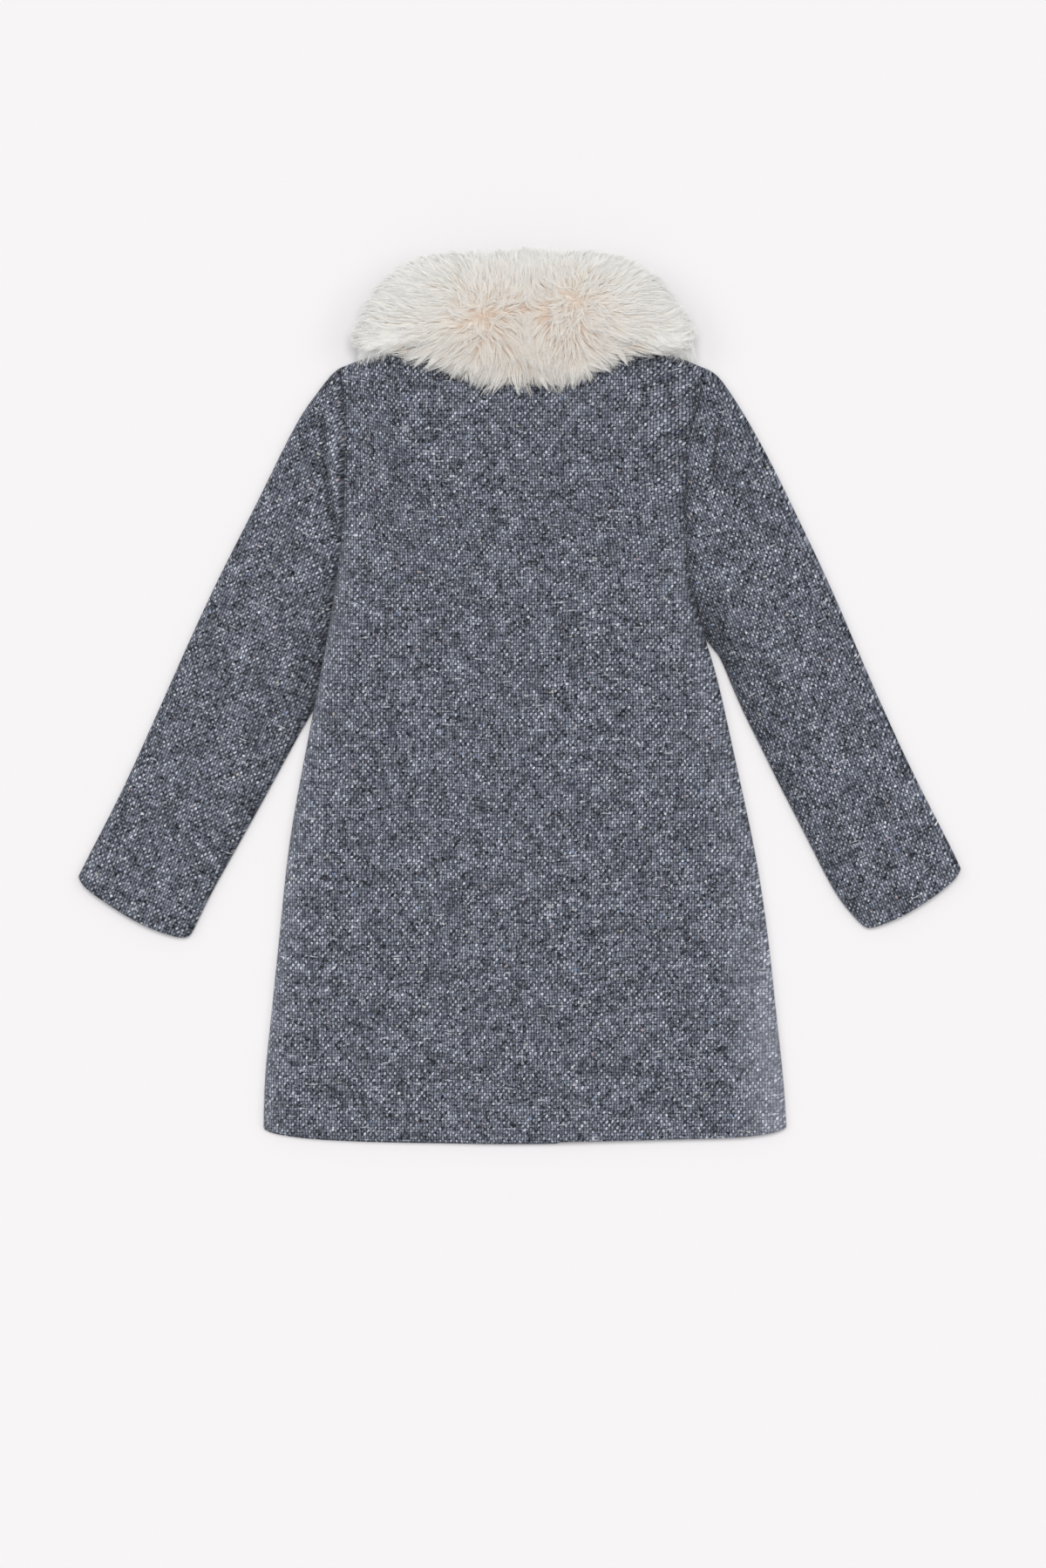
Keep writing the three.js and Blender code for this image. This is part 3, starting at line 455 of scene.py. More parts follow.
def markFolds(piece):  # attributes for the painted shade of seams and folds and the painted light of fold ridges, and the fold's own relief
    points, normals = pointsOf(piece.data), normalsOf(piece.data)
    upper = normals[:, 2] > 0
    seamNear, foldSide = np.full(len(points), farAway), np.full(len(points), farAway)
    foldDepth = np.zeros(len(points))
    for line in armholes:
        gap = besideLine(points, line)[0]
        seamNear = np.minimum(seamNear, gap * (0.6 if "Sleeve" in piece.name else 1))
    if "Sleeve" in piece.name:
        for line in sleeveFolds:
            gap, share, sides = besideLine(points, line)
            inward = sides * (1 if line[0][0] < 0 else -1) > 0  # towards the middle of the coat
            near = upper & (gap < 15)
            foldSide = np.where(near, np.where(inward, gap, -gap), foldSide)
            depth = 1.2 * np.sin(np.clip(share, 0.02, 0.98) * pi) ** 0.6  # less towards both ends of the fold
            foldDepth = np.where(near, np.clip(depth, 0, 1), foldDepth)
        relief = 0.9 * np.exp(-((foldSide - 6) / 4) ** 2) - 1.1 * np.exp(-(foldSide / 3.2) ** 2)
        points[:, 2] += np.where(upper, relief * foldDepth * millimetre, 0)
        movePoints(piece, points)
    for name, values in (("seamNear", seamNear), ("foldSide", foldSide), ("foldDepth", foldDepth)):
        setAttribute(piece, name, values)


def hemHeights(piece):  # millimetres above the hem, for the pressed line
    points = pointsOf(piece.data)
    lowest = {}
    columns = np.round(points[:, 0] / 0.01).astype(int)
    for column in np.unique(columns):
        lowest[column] = points[columns == column, 1].min()
    base = np.array([lowest[column] for column in columns])
    smooth = np.array([np.mean([lowest.get(c + d, lowest[c]) for d in (-2, -1, 0, 1, 2)]) for c in columns])
    smooth = np.where(np.abs(base - smooth) > 0.006, base, smooth)
    heights = (points[:, 1] - smooth) / millimetre
    setAttribute(piece, "hemUp", heights)
    points[:, 1] -= hemDrop * millimetre * np.clip(1 - heights / hemReach, 0, 1)
    movePoints(piece, points)


def paintedLightShade(piece):  # painted light along the side folds, where the rounded edges turn to the light, most at the lower right
    points = pointsOf(piece.data) / millimetre
    rows = np.arange(-380, 120, 12)
    sides = []
    for row in rows:
        near = points[np.abs(points[:, 1] - row) < 9, 0]
        sides.append((near.min(), near.max()))
    left, right = np.array(sides).T
    fromLeft = points[:, 0] - np.interp(points[:, 1], rows, left)
    fromRight = np.interp(points[:, 1], rows, right) - points[:, 0]
    rightAmount = np.interp(points[:, 1], (-300, -180, -67), (1.1, 0.36, 0.16))
    light = rightAmount * np.clip(1.15 - fromRight / 40, 0, 1) + 0.75 * np.exp(-np.maximum(fromLeft, 0) / 8)
    light = light * np.clip((200 - points[:, 1]) / 100, 0, 1)
    setAttribute(piece, "paintedLightShade", light)


def innerShade(piece):  # painted shade: the inner edge of a sleeve is darkened where the body shades it
    line = np.array(innerEdges[piece.name]) * millimetre
    gap, share, _ = besideLine(pointsOf(piece.data), line)
    deepest = 0.36 if line[0, 0] < 0 else 0.52
    amount = np.interp(share, (0, 0.1, 0.3, 0.55, 1), (0, 0.6 * deepest, deepest, 0.34, 0.12))
    shade = -amount * np.exp(-(gap / 20) ** 2)
    setAttribute(piece, "paintedLightShade", shade)


pieces = {}
for pieceName, settings in clothPieces.items():
    piece = copyOfNode(settings["node"], pieceName)
    bpy.ops.object.mode_set(mode="EDIT")
    bpy.ops.mesh.select_all(action="SELECT")
    bpy.ops.mesh.tris_convert_to_quads(face_threshold=radians(60), shape_threshold=radians(75))
    bpy.ops.mesh.select_mode(type="EDGE")
    bpy.ops.mesh.select_all(action="DESELECT")
    bpy.ops.mesh.edges_select_sharp(sharpness=radians(50))
    bpy.ops.transform.edge_crease(value=0.85)  # cut edges keep their place, so the outline does too
    bpy.ops.object.mode_set(mode="OBJECT")
    applied(piece, "SUBSURF", levels=clothLevels, render_levels=clothLevels)
    roughen(piece)
    if "Sleeve" in pieceName:
        drawIn(piece)
        lengthenCuff(piece)
        innerShade(piece)
        sewUp(piece, [pieces["tweedBack"], pieces["tweedFrontLeft"], pieces["tweedFrontRight"]])
    else:
        hemHeights(piece)
        if pieceName == "tweedBack":
            paintedLightShade(piece)
    markFolds(piece)
    piece.data.materials.append(settings["material"])
    selectOnly(piece)
    bpy.ops.object.shade_smooth()
    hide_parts(settings["node"])
    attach(piece, "root")
    pieces[pieceName] = piece
    print("sewn in:", pieceName, len(piece.data.polygons), "faces")


# fur collar: a soft core under long imitation fur that lies in locks

furCollar = {
    "seed": 11,
    "inset": 4.5 * millimetre,  # the core lies this far inside the fur's surface
    "whorls": [(-0.0312, 0.3267, 0.052), (0.0460, 0.3370, 0.052)],  # the fur lies away from these two places
    "whorlRadius": 0.026,  # nearer than this it lies more and more every way
    "locks": 6400,
    "lockGap": 0.0019,
    "hairsPerLock": (6, 13),  # in the thinnest and the thickest lock
    "length": (0.016, 0.032),
    "sideLength": 0.62,  # share of that round the sides and under the collar
    "pathSteps": 9,
    "stiffness": {"lying": 2.2, "free": 3.5},  # how slowly a lock bends with the flow
    "reachingShare": 0.65,  # the rest of the locks bend over the edge and cover the sides
    "lockRadius": (0.0016, 0.0042),
    "gather": (0.5, 0.94),  # how far a lock's hairs have come together at its tip
    "rootRadius": 0.0002,
    "stages": [0, 0.52, 1],
    "rootDepth": 3.0 * millimetre,
    "tipLift": (-0.0008, 0.0014),  # a lock's tip over the fur's surface
    "sideDepth": 5.0 * millimetre,  # the pile lies this much lower round the sides, and spikes stand out
    "warmth": {"halfWidth": 0.095, "halfHeight": 0.052, "lower": 0.018},  # how far the pink tint reaches
    "lowPaintedShade": {"from": 0.308, "depth": 0.02, "amount": 0.85},  # painted shade darkens the pile's lower edge, where the pile above shades it
    "pastEdge": (-0.0095, 0.002),  # tips end this far past the collar's edge
    "pastEdgeOnCloth": (-0.011, 0.005),
    # tufts, as the lines between which their hairs run: at the middle of the top and at the lower corners
    "tufts": [
        {"count": 260, "from": ((-0.002, 0.365, 0.034), (0.015, 0.365, 0.034)),
         "to": ((0.0045, 0.3825, 0.036), (0.0085, 0.3825, 0.036))},
        {"count": 900, "from": ((-0.1300, 0.3180, 0.037), (-0.1020, 0.3180, 0.041)),
         "to": ((-0.1400, 0.2870, 0.018), (-0.1100, 0.2940, 0.020))},
        {"count": 900, "from": ((0.1420, 0.3180, 0.037), (0.1150, 0.3180, 0.041)),
         "to": ((0.1515, 0.2875, 0.018), (0.1230, 0.2950, 0.020))},
    ],
    # spikes: locks that end in a point outside the edge, one by one
    "spikes": {"count": 270, "hairs": (12, 26), "root": (0.012, 0.018), "past": (-0.0025, 0.0042),
               "pastOnCloth": (0.001, 0.0140), "width": (0.0006, 0.0016), "widthOnCloth": (0.0011, 0.0026)},
}

furSkin = copyOfNode("fur_collar", "furSkin")
applied(furSkin, "REMESH", mode="VOXEL", voxel_size=0.0028)
applied(furSkin, "SMOOTH", factor=0.5, iterations=3)
skinTree = treeOf([furSkin])
bodyTree = treeOf([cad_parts[settings["node"]] for settings in clothPieces.values()])
skinPoints = zip(pointsOf(furSkin.data), normalsOf(furSkin.data))
rimPoints = [point for point, normal in skinPoints if abs(normal[2]) < 0.25]
rimTree = KDTree(len(rimPoints))
for index, point in enumerate(rimPoints):
    rimTree.insert((point[0], point[1], 0), index)
rimTree.balance()
down = Vector((0, 0, -1))


def pastRim(place):  # metres outside the collar's outline, seen from above; negative inside it
    gap = rimTree.find((place.x, place.y, 0))[2]
    inside = skinTree.ray_cast(Vector((place.x, place.y, 0.2)), down)[0] is not None
    return -gap if inside else gap


def turned(direction, axis, angle):
    return direction * cos(angle) + axis.cross(direction) * sin(angle)


def flowAt(place, normal):  # the way the fur lies at a point of the surface
    away = Vector((0, 0, 0))
    for whorl in furCollar["whorls"]:
        gap = place - Vector(whorl)
        away += gap / max(gap.length, 0.006) ** 2.4
    away -= normal * away.dot(normal)
    away = away.normalized() if away.length > 1e-5 else Vector((0, 1, 0))
    return turned(away, normal, 0.9 * noise.noise(place / 0.026))


def clothBelow(place):
    hit = bodyTree.ray_cast(place + Vector((0, 0, 0.004)), down, 0.04)[0]
    return None if hit is None else hit.z


def lockPath(root, normal, generator):  # starts along the flow, bends with it, and leaves the skin at an edge
    whorlGap = min((root - Vector(whorl)).length for whorl in furCollar["whorls"])
    wild = 1.0 if whorlGap > furCollar["whorlRadius"] else whorlGap / furCollar["whorlRadius"]
    yaw = generator.normal(0, 0.2) + (1 - wild) * generator.uniform(-2.2, 2.2)
    length = generator.uniform(*furCollar["length"]) * (0.75 + 0.25 * wild)
    if normal.z < 0.3:
        length *= furCollar["sideLength"]
    steps = furCollar["pathSteps"]
    heading = turned(flowAt(root, normal), normal, yaw)
    heading = (heading + normal * (0.1 if normal.z > 0.5 else 0.45)).normalized()
    reaching = generator.random() < furCollar["reachingShare"]
    onCloth = clothBelow(root) is not None and root.z > 0.012
    shortest, longest = furCollar["pastEdgeOnCloth" if onCloth else "pastEdge"]
    limit = shortest + (longest - shortest) * generator.random() ** 2.6  # few reach far
    path, normals = [root.copy()], [normal.copy()]
    place, facing = root.copy(), normal.copy()
    for _ in range(steps):
        wanted = turned(flowAt(place, facing), facing, yaw * (0.7 if wild == 1 else 1))
        free = facing.z < 0.75 and (reaching or onCloth) and root.z > 0.014
        if free:
            wanted = Vector((wanted.x, wanted.y, min(wanted.z, 0) * 0.15))
        stiffness = furCollar["stiffness"]["free" if free else "lying"]
        heading = (heading * stiffness + wanted).normalized()
        place = place + heading * (length / steps)
        found, foundNormal, _, _ = skinTree.find_nearest(place)
        place = found.lerp(place, 0.97 if free else 0.72)
        facing = (facing * 0.5 + (Vector((0, 0, 1)) if free else foundNormal)).normalized()
        facing = (facing - heading * facing.dot(heading)).normalized()
        cloth = clothBelow(place)
        lowest = 0.0008 if cloth is None else cloth + 0.0014
        if root.z > 0.012 and place.z < lowest:
            place.z = lowest
        if free and pastRim(place) > limit:
            break
        path.append(place.copy())
        normals.append(facing.copy())
    return np.array(path), np.array(normals)


def scatterRoots(count, generator):  # spots on the skin, fewer where the fur is hidden
    mesh = furSkin.data
    mesh.calc_loop_triangles()
    corners = pointsOf(mesh)
    triangles = np.array([t.vertices[:] for t in mesh.loop_triangles])
    a, b, c = (corners[triangles[:, i]] for i in range(3))
    cross = np.cross(b - a, c - a)
    areas = np.linalg.norm(cross, axis=1) / 2
    facing = cross / (2 * areas[:, None] + 1e-12)
    density = np.where(facing[:, 2] < -0.6, 0.25, 1.0)
    share = areas * density
    chosen = generator.choice(len(areas), size=count, p=share / share.sum())
    u, v = generator.random(count), generator.random(count)
    u, v = np.where(u + v > 1, 1 - u, u), np.where(u + v > 1, 1 - v, v)
    spots = a[chosen] + (b - a)[chosen] * u[:, None] + (c - a)[chosen] * v[:, None]
    return spots, facing[chosen]


def isOpen(spot, normal):  # False where cloth or the collar itself lies against the fur
    start = spot + normal * 0.0006
    for tree in (bodyTree, skinTree):
        if tree.ray_cast(start, normal, 0.007)[0] is not None:
            return False
    return True


generator = np.random.default_rng(furCollar["seed"])
spots, spotNormals = scatterRoots(furCollar["locks"] * 6, generator)
locks, taken = [], {}
for spot, spotNormal in zip(spots, spotNormals):
    root, normal = Vector(spot), Vector(spotNormal)
    if len(locks) == furCollar["locks"]:
        break
    cell = tuple(np.floor(spot / furCollar["lockGap"]).astype(int))
    around = [taken.get((cell[0] + i, cell[1] + j, cell[2] + k))
              for i in (-1, 0, 1) for j in (-1, 0, 1) for k in (-1, 0, 1)]
    if any(other is not None and (other - root).length < furCollar["lockGap"] for other in around):
        continue
    if isOpen(root, normal):
        taken[cell] = root
        lockPoints, lockNormals = lockPath(root, normal, generator)
        if len(lockPoints) > 3:
            locks.append((root, normal, lockPoints, lockNormals))
print("locks laid:", len(locks))

stageShares = np.array(furCollar["stages"])


def sideShare(upward):  # 0 on top of the collar, 1 round its sides and under it
    return float(np.clip((0.6 - upward) / 0.5, 0, 1))


def warmthAt(place):  # the fur is pinker round the whorls, where its roots show
    warmth = furCollar["warmth"]
    middle = np.array(furCollar["whorls"]).mean(axis=0)
    across = (place.x - middle[0]) / warmth["halfWidth"]
    upward = (place.y - middle[1] + warmth["lower"]) / warmth["halfHeight"]
    return np.exp(-(across ** 2 + upward ** 2))


# points and normals are [hair, stage, xyz]; shades are [hair, stage, (root to tip, hair, warmth, lock)]
def hairsOfLocks(someLocks):
    allHairs, allNormals, allShades = [], [], []
    lowShadePainted = furCollar["lowPaintedShade"]
    for root, normal, guide, guideNormals in someLocks:
        side = normal.orthogonal().normalized()
        across = normal.cross(side)
        warmth = warmthAt(root)
        thickness = generator.random() ** 1.5
        hairs = round(np.interp(thickness, (0, 1), furCollar["hairsPerLock"]))
        angle = generator.random(hairs) * 2 * np.pi
        radius = np.interp(thickness, (0, 1), furCollar["lockRadius"]) * np.sqrt(generator.random(hairs))
        offset = np.outer(np.cos(angle) * radius, side) + np.outer(np.sin(angle) * radius, across)
        reach = 1 - 0.3 * generator.random(hairs) ** 2
        places = stageShares[None, :] * reach[:, None] * (len(guide) - 1)
        low = np.minimum(places.astype(int), len(guide) - 2)
        part = (places - low)[..., None]
        base = guide[low] * (1 - part) + guide[low + 1] * part
        up = guideNormals[low] * (1 - part) + guideNormals[low + 1] * part
        spread = 1 - generator.uniform(*furCollar["gather"]) * stageShares ** 1.1
        stray = generator.normal(0, 1, (hairs, 1, 3)) * 0.0005 * stageShares[None, :, None] ** 2
        tremble = generator.normal(0, 1, (hairs, len(stageShares), 3)) * 0.00022
        stray = stray + tremble * stageShares[None, :, None]
        lift = generator.uniform(*furCollar["tipLift"]) + generator.random(hairs) ** 5 * 0.003
        lift = lift - sideShare(normal.z) * furCollar["sideDepth"] * (generator.random() < 0.8)
        depth = furCollar["rootDepth"]
        height = -depth + (lift[:, None] + depth) * stageShares[None, :] ** 0.6
        points = base + offset[:, None, :] * spread[None, :, None] + up * height[..., None] + stray
        points[..., 2] = np.maximum(points[..., 2], 0.0004)
        allHairs.append(points)
        allNormals.append(up)
        shades = np.ones((hairs, len(stageShares), 4))
        shades[..., 0] = stageShares
        shades[..., 1] = generator.random(hairs)[:, None]
        shades[..., 2] = warmth
        lumps = 0.5 + 0.7 * noise.noise(root / 0.03) + 0.7 * noise.noise(root / 0.011)
        # painted shade: locks near the collar's lower edge are made darker
        low = min(max((lowShadePainted["from"] - root.y) / lowShadePainted["depth"], 0), 1)
        low *= min(max(1.4 - abs(root.x) / 0.08, 0), 1)  # not at the two ends of the collar
        shades[..., 3] = 0.35 * generator.random() + 0.65 * min(max(lumps, 0), 1) - lowShadePainted["amount"] * low
        allShades.append(shades)
    return np.concatenate(allHairs), np.concatenate(allNormals), np.concatenate(allShades)


def tuftHairs(tuft):
    count = tuft["count"]
    share = generator.random(count)[:, None]
    ends = []
    for line in (tuft["from"], tuft["to"]):
        low, high = np.array(line[0]), np.array(line[1])
        scatter = generator.normal(0, 1, (count, 3)) * (0.0016, 0.0016, 0.0022)
        ends.append(low + (high - low) * share + scatter)
    ends[1] += (ends[1] - ends[0]) * generator.uniform(-0.35, 0.12, (count, 1))
    along = stageShares[None, :, None]
    points = ends[0][:, None] * (1 - along) + ends[1][:, None] * along
    for hair in points:
        for stage, point in enumerate(hair):  # over the fur's own surface, then down to the cloth
            top = skinTree.ray_cast(Vector((point[0], point[1], 0.2)), down)[0]
            cloth = clothBelow(Vector(point))
            if top is not None:
                point[2] = top.z + (-0.002 if stage == 0 else 0.0012)
            elif cloth is not None:
                point[2] = max(point[2], cloth + 0.0008)
    outward = ends[1].mean(axis=0) - ends[0].mean(axis=0)
    normals = np.zeros_like(points) + np.array([outward[0], outward[1], 0.03])
    normals /= np.linalg.norm(normals, axis=2, keepdims=True)
    shades = np.ones((count, len(stageShares), 4))
    shades[..., 0] = stageShares
    shades[..., 1] = generator.random(count)[:, None]
    shades[..., 2] = 0.0
    shades[..., 3] = 0.7
    return points, normals, shades


def rimSpikes():
    spikes = furCollar["spikes"]
    rim = [point for point in rimPoints if point[2] > 0.02]
    allPoints, allNormals, allShades = [], [], []
    for index in generator.choice(len(rim), spikes["count"], replace=False):
        rimPoint = Vector(rim[index])
        flow = flowAt(rimPoint, Vector((0, 0, 1)))
        flow = Vector((flow.x, flow.y, 0)).normalized()
        side = Vector((-flow.y, flow.x, 0))
        onCloth = clothBelow(rimPoint + flow * 0.006) is not None
        past = generator.uniform(*spikes["pastOnCloth" if onCloth else "past"])
        width = generator.uniform(*spikes["widthOnCloth" if onCloth else "width"])
        tip = rimPoint + flow * past + side * generator.normal(0, 0.002)
        root = rimPoint - flow * generator.uniform(*spikes["root"])
        top = skinTree.ray_cast(Vector((root.x, root.y, 0.2)), down)[0]
        root.z = (root.z if top is None else top.z) - 0.0015
        tip.z = rimPoint.z + generator.uniform(-0.001, 0.005)
        if onCloth:
            tip.z = max(clothBelow(tip) or 0, tip.z - 0.009) + 0.0012
        middle = root.lerp(tip, 0.5)
        middle.z = max(root.z, tip.z) - 0.15 * abs(root.z - tip.z) + 0.0006
        hairs = int(generator.integers(*spikes["hairs"]))
        shade, warmth = generator.uniform(0.1, 0.7), warmthAt(rimPoint)
        for _ in range(hairs):
            spread = side * generator.normal(0, width)
            wobble = Vector(generator.normal(0, 0.0003, 3))
            early = generator.uniform(0, 1) ** 2 * 0.35
            end = tip.lerp(middle, early) + spread * (0.06 + 0.9 * early)
            allPoints.append([root + spread * 1.3, middle + spread + wobble, end + wobble])
            allNormals.append([(flow.x * 0.8, flow.y * 0.8, 0.6)] * 3)
            hairShade = generator.random()
            allShades.append([(share, hairShade, warmth, shade) for share in stageShares])
    return np.array(allPoints), np.array(allNormals), np.array(allShades)


def hairMesh(name, hairPoints, hairNormals, shades):  # closed three-sided tapering hairs
    count, stages, _ = hairPoints.shape
    along = np.gradient(hairPoints, axis=1)
    along /= np.linalg.norm(along, axis=2, keepdims=True) + 1e-12
    side = np.cross(along, hairNormals)
    side /= np.linalg.norm(side, axis=2, keepdims=True) + 1e-12
    across = np.cross(side, along)
    radius = furCollar["rootRadius"] * (1 - 0.7 * stageShares ** 2)
    skyward = np.array([0, 0, 1.0])  # lit from above like the pile as a whole
    rings, ringNormals = [], []
    for turn in (0.5236, 2.618, 4.7124):
        outward = cos(turn) * side + sin(turn) * across
        rings.append(hairPoints + radius[None, :, None] * outward)
        ringNormals.append(0.4 * outward + hairNormals + skyward if sin(turn) > 0 else outward)
    ringPoints = np.stack(rings, axis=2)[:, :-1]  # [hair, ring, corner, xyz]
    ringNormals = np.stack(ringNormals, axis=2)[:, :-1]
    corners = np.concatenate([ringPoints.reshape(count, -1, 3), hairPoints[:, -1:]], axis=1)
    tipNormals = hairNormals[:, -1:] + skyward
    cornerNormals = np.concatenate([ringNormals.reshape(count, -1, 3), tipNormals], axis=1)
    cornerNormals /= np.linalg.norm(cornerNormals, axis=2, keepdims=True) + 1e-12
    cornerShades = np.concatenate([np.repeat(shades[:, :-1], 3, axis=1), shades[:, -1:]], axis=1)
    faces = [(0, 1, 2)]
    for ring in range(stages - 2):
        for corner in range(3):
            a, b = ring * 3 + corner, ring * 3 + (corner + 1) % 3
            faces += [(a, b + 3, b), (a, a + 3, b + 3)]
    last, tip = (stages - 2) * 3, (stages - 1) * 3
    faces += [(last + 1, last, tip), (last + 2, last + 1, tip), (last, last + 2, tip)]
    perHair = (stages - 1) * 3 + 1
    allFaces = (np.array(faces)[None] + (np.arange(count) * perHair)[:, None, None]).reshape(-1, 3)
    mesh = bpy.data.meshes.new(name)
    mesh.from_pydata(corners.reshape(-1, 3), [], allFaces)
    mesh.attributes.new("furShade", "FLOAT_COLOR", "POINT").data.foreach_set(
        "color", cornerShades.astype(np.float32).ravel())
    mesh.polygons.foreach_set("use_smooth", [True] * len(mesh.polygons))
    # hairs take the light as the pile's surface does
    mesh.normals_split_custom_set_from_vertices(cornerNormals.reshape(-1, 3))
    piece = bpy.data.objects.new(name, mesh)
    bpy.context.scene.collection.objects.link(piece)
    return piece


# imitation fur: fine bright acrylic pile, pink-beige at the root and almost white at the tip
# warm tints all of the pile round the whorls
furColours = {"root": "#efd0b8", "middle": "#fbf3e7", "tip": "#fefefb", "warm": "#f8f4f1"}


def makeFur(name, fromAttribute):
    material, tree = newMaterial(name)
    if fromAttribute:
        shade = addNode(tree, "ShaderNodeAttribute", attribute_name="furShade")
        channels = addNode(tree, "ShaderNodeSeparateColor", {0: shade.outputs["Color"]}).outputs
        rootToTip = maths(tree, "MULTIPLY_ADD", channels[1], 0.25, channels[0])
        rootToTip = maths(tree, "MULTIPLY_ADD", channels[2], -0.42, rootToTip)
        rootToTip = maths(tree, "ADD", rootToTip, 0.3)
        # the hair's and the lock's tone, which carries the painted shade along the collar's lower edge
        brightness = maths(tree, "ADD", channels[1], shade.outputs["Alpha"])
        brightness = mapRange(tree, brightness, (0.0, 2.0), (0.89, 1.06))
        # painted shade: the pile is darker towards the roots of its hairs
        rootShade = mapRange(tree, channels[0], (0.0, 0.8), (0.91, 1.0))
        brightness = maths(tree, "MULTIPLY", brightness, rootShade)
    else:
        place = addNode(tree, "ShaderNodeTexCoord").outputs["Object"]
        fine = addNode(tree, "ShaderNodeTexNoise", {
            "Vector": place, "Scale": 260.0, "Detail": 4.0}).outputs["Fac"]
        rootToTip = mapRange(tree, fine, (0.3, 0.7), (0.2, 0.6))
        brightness = mapRange(tree, fine, (0.0, 1.0), (0.9, 1.0))
    ramp = addNode(tree, "ShaderNodeValToRGB", {0: rootToTip})
    ramp.color_ramp.elements.new(0.45)
    for element, position, hexValue in zip(ramp.color_ramp.elements, (0.05, 0.45, 0.95), furColours.values()):
        element.position = position
        element.color = linearColour(hexValue)
    colour = vectorMaths(tree, "SCALE", ramp.outputs[0], Scale=brightness)
    if fromAttribute:
        colour = mixed(tree, channels[2], colour, linearColour(furColours["warm"]), blend="MULTIPLY")
    shader = addNode(tree, "ShaderNodeBsdfPrincipled", {
        "Base Color": colour, "Roughness": 0.6, "IOR": 1.5, "Specular IOR Level": 0.3,
        "Sheen Weight": 0.8, "Sheen Roughness": 0.6})
    addNode(tree, "ShaderNodeOutputMaterial", {"Surface": shader.outputs[0]})
    return material


pileFur = makeFur("imitation fur pile, acrylic", True)
coreFur = makeFur("imitation fur, dense pile near its backing", False)

hairGroups = [hairsOfLocks(locks), *map(tuftHairs, furCollar["tufts"]), rimSpikes()]
furHairs, furNormals, furShades = (np.concatenate(group) for group in zip(*hairGroups))
order = np.argsort(furHairs[:, 0, 0])  # from left to right, so that each piece is one stretch of the collar
for index, part in enumerate(np.array_split(order, 4)):
    fur = hairMesh(f"collarFur_{index + 1}", furHairs[part], furNormals[part], furShades[part])
    fur.data.materials.append(pileFur)
    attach(fur, "root")
    print("fur piece", index + 1, len(fur.data.polygons), "triangles")

# the core is the skin drawn in, less where the collar is thin
collarCore = furSkin
collarCore.name = "collarCore"
corePoints, coreNormals = pointsOf(collarCore.data), normalsOf(collarCore.data)
for index, (point, normal) in enumerate(zip(corePoints, coreNormals)):
    inward = -Vector(normal)
    through = skinTree.ray_cast(Vector(point) + inward * 0.0005, inward, 0.05)[3]
    inset = furCollar["inset"] + sideShare(normal[2]) * furCollar["sideDepth"]
    depth = inset if through is None else min(inset, 0.3 * through)
    corePoints[index] += np.array(inward) * depth
movePoints(collarCore, corePoints)
applied(collarCore, "SMOOTH", factor=0.5, iterations=4)
collarCore.data.materials.append(coreFur)
selectOnly(collarCore)
bpy.ops.object.shade_smooth()
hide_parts("fur_collar")
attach(collarCore, "root")
print("the collar is furred", len(collarCore.data.polygons), "faces in its core")


# buttons: turned polyester resin with a faint horn grain

def makeButtonResin(name):
    material, tree = newMaterial(name)
    place = addNode(tree, "ShaderNodeTexCoord").outputs["Object"]
    place = addNode(tree, "ShaderNodeMapping", {"Vector": place, "Scale": (60, 260, 200)}).outputs[0]
    grain = addNode(tree, "ShaderNodeTexNoise", {"Vector": place, "Scale": 1.0, "Detail": 3.0}).outputs["Fac"]
    colour = mixed(tree, grain, linearColour("#24262b"), linearColour("#565a63"))
    roughness = mapRange(tree, grain, (0.0, 1.0), (0.3, 0.5))
    shader = addNode(tree, "ShaderNodeBsdfPrincipled", {
        "Base Color": colour, "Roughness": roughness, "IOR": 1.54})
    addNode(tree, "ShaderNodeOutputMaterial", {"Surface": shader.outputs[0]})
    return material


buttonResin = makeButtonResin("polyester resin, turned and tumbled")
for index in range(4):
    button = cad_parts[f"button_{index + 1}"]
    button.data.materials.clear()
    button.data.materials.append(buttonResin)
print("the buttons are finished")


# pale floor, soft light and the camera straight above

studio = {
    "floorColour": "#e9e7e8",
    "worldStrength": 0.342,
    "overheadStrength": 2.066,
    "sideStrength": 0.342,
    "cameraHeight": 12.0,
    "centre": (0.0025, -0.0743),
    "photoHeight": 1.34925,  # metres from the photo's top edge to its bottom edge
}

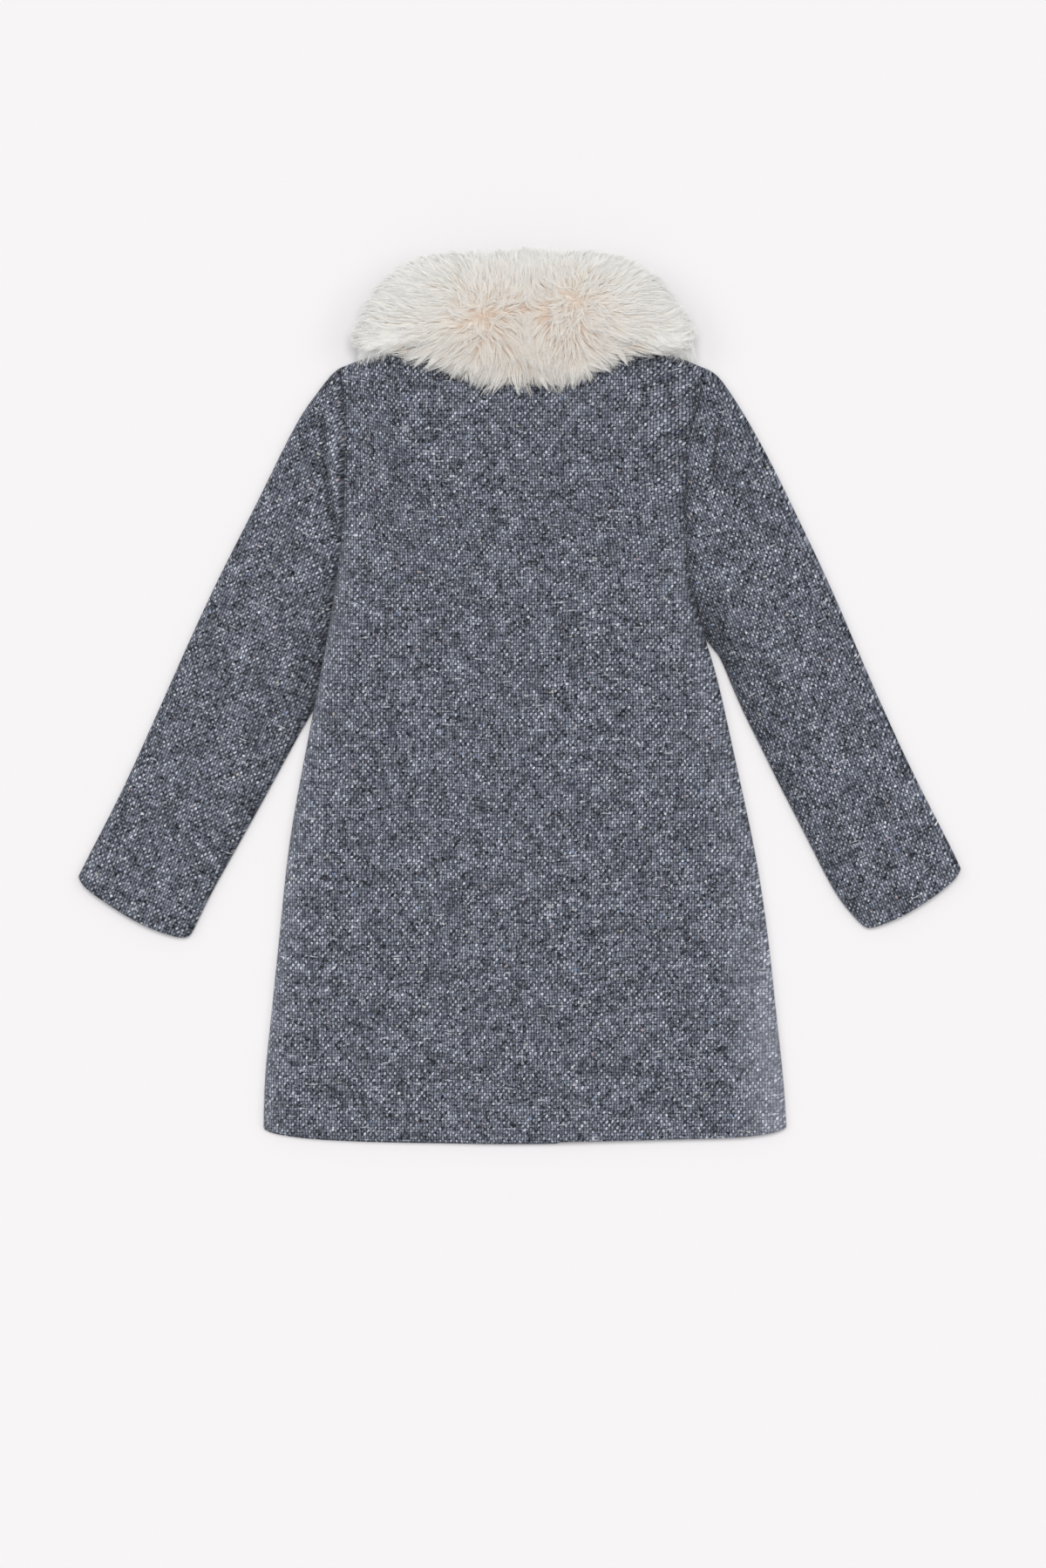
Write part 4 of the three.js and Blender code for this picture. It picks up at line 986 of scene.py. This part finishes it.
bpy.ops.object.select_all(action="DESELECT")
bpy.ops.mesh.primitive_plane_add(size=14, location=(0, 0, 0))
floor = bpy.context.object
floor.name = "floor"
floorPaper, floorTree = newMaterial("matt white paper")
floorPlace = addNode(floorTree, "ShaderNodeTexCoord").outputs["Object"]
floorGrain = addNode(floorTree, "ShaderNodeTexNoise", {"Vector": floorPlace, "Scale": 900.0}).outputs["Fac"]
floorBump = addNode(floorTree, "ShaderNodeBump", {
    "Height": floorGrain, "Strength": 0.05, "Distance": 0.0001}).outputs[0]
floorShader = addNode(floorTree, "ShaderNodeBsdfPrincipled", {
    "Base Color": linearColour(studio["floorColour"]), "Roughness": 0.9, "Specular IOR Level": 0.1,
    "Normal": floorBump})
addNode(floorTree, "ShaderNodeOutputMaterial", {"Surface": floorShader.outputs[0]})
floor.data.materials.append(floorPaper)

world = bpy.data.worlds.new("softStudio")
world.use_nodes = True
world.node_tree.nodes["Background"].inputs["Color"].default_value = (1, 1, 1, 1)
world.node_tree.nodes["Background"].inputs["Strength"].default_value = studio["worldStrength"]
bpy.context.scene.world = world


def addSoftLight(name, direction, strength, width):  # shines from the direction given, width degrees across
    bpy.ops.object.light_add(type="SUN", location=direction)
    light = bpy.context.object
    light.name = name
    light.data.energy = strength
    light.data.angle = radians(width)
    light.rotation_euler = (-Vector(direction)).to_track_quat("-Z", "Y").to_euler()


addSoftLight("overheadLight", (0.0, 0.6, 3.0), studio["overheadStrength"], 34)
addSoftLight("leftLight", (-1.8, 0.4, 1.9), studio["sideStrength"], 30)
addSoftLight("rightLight", (1.8, 0.3, 1.9), studio["sideStrength"], 30)

bpy.ops.object.camera_add(location=(*studio["centre"], studio["cameraHeight"]), rotation=(0, 0, 0))
camera = bpy.context.object
camera.data.sensor_fit = "VERTICAL"
camera.data.sensor_height = 36
camera.data.lens = 36 * studio["cameraHeight"] / studio["photoHeight"]
camera.data.clip_end = 50
bpy.context.scene.camera = camera
bpy.context.scene.view_settings.view_transform = "Standard"
print("the studio is set")
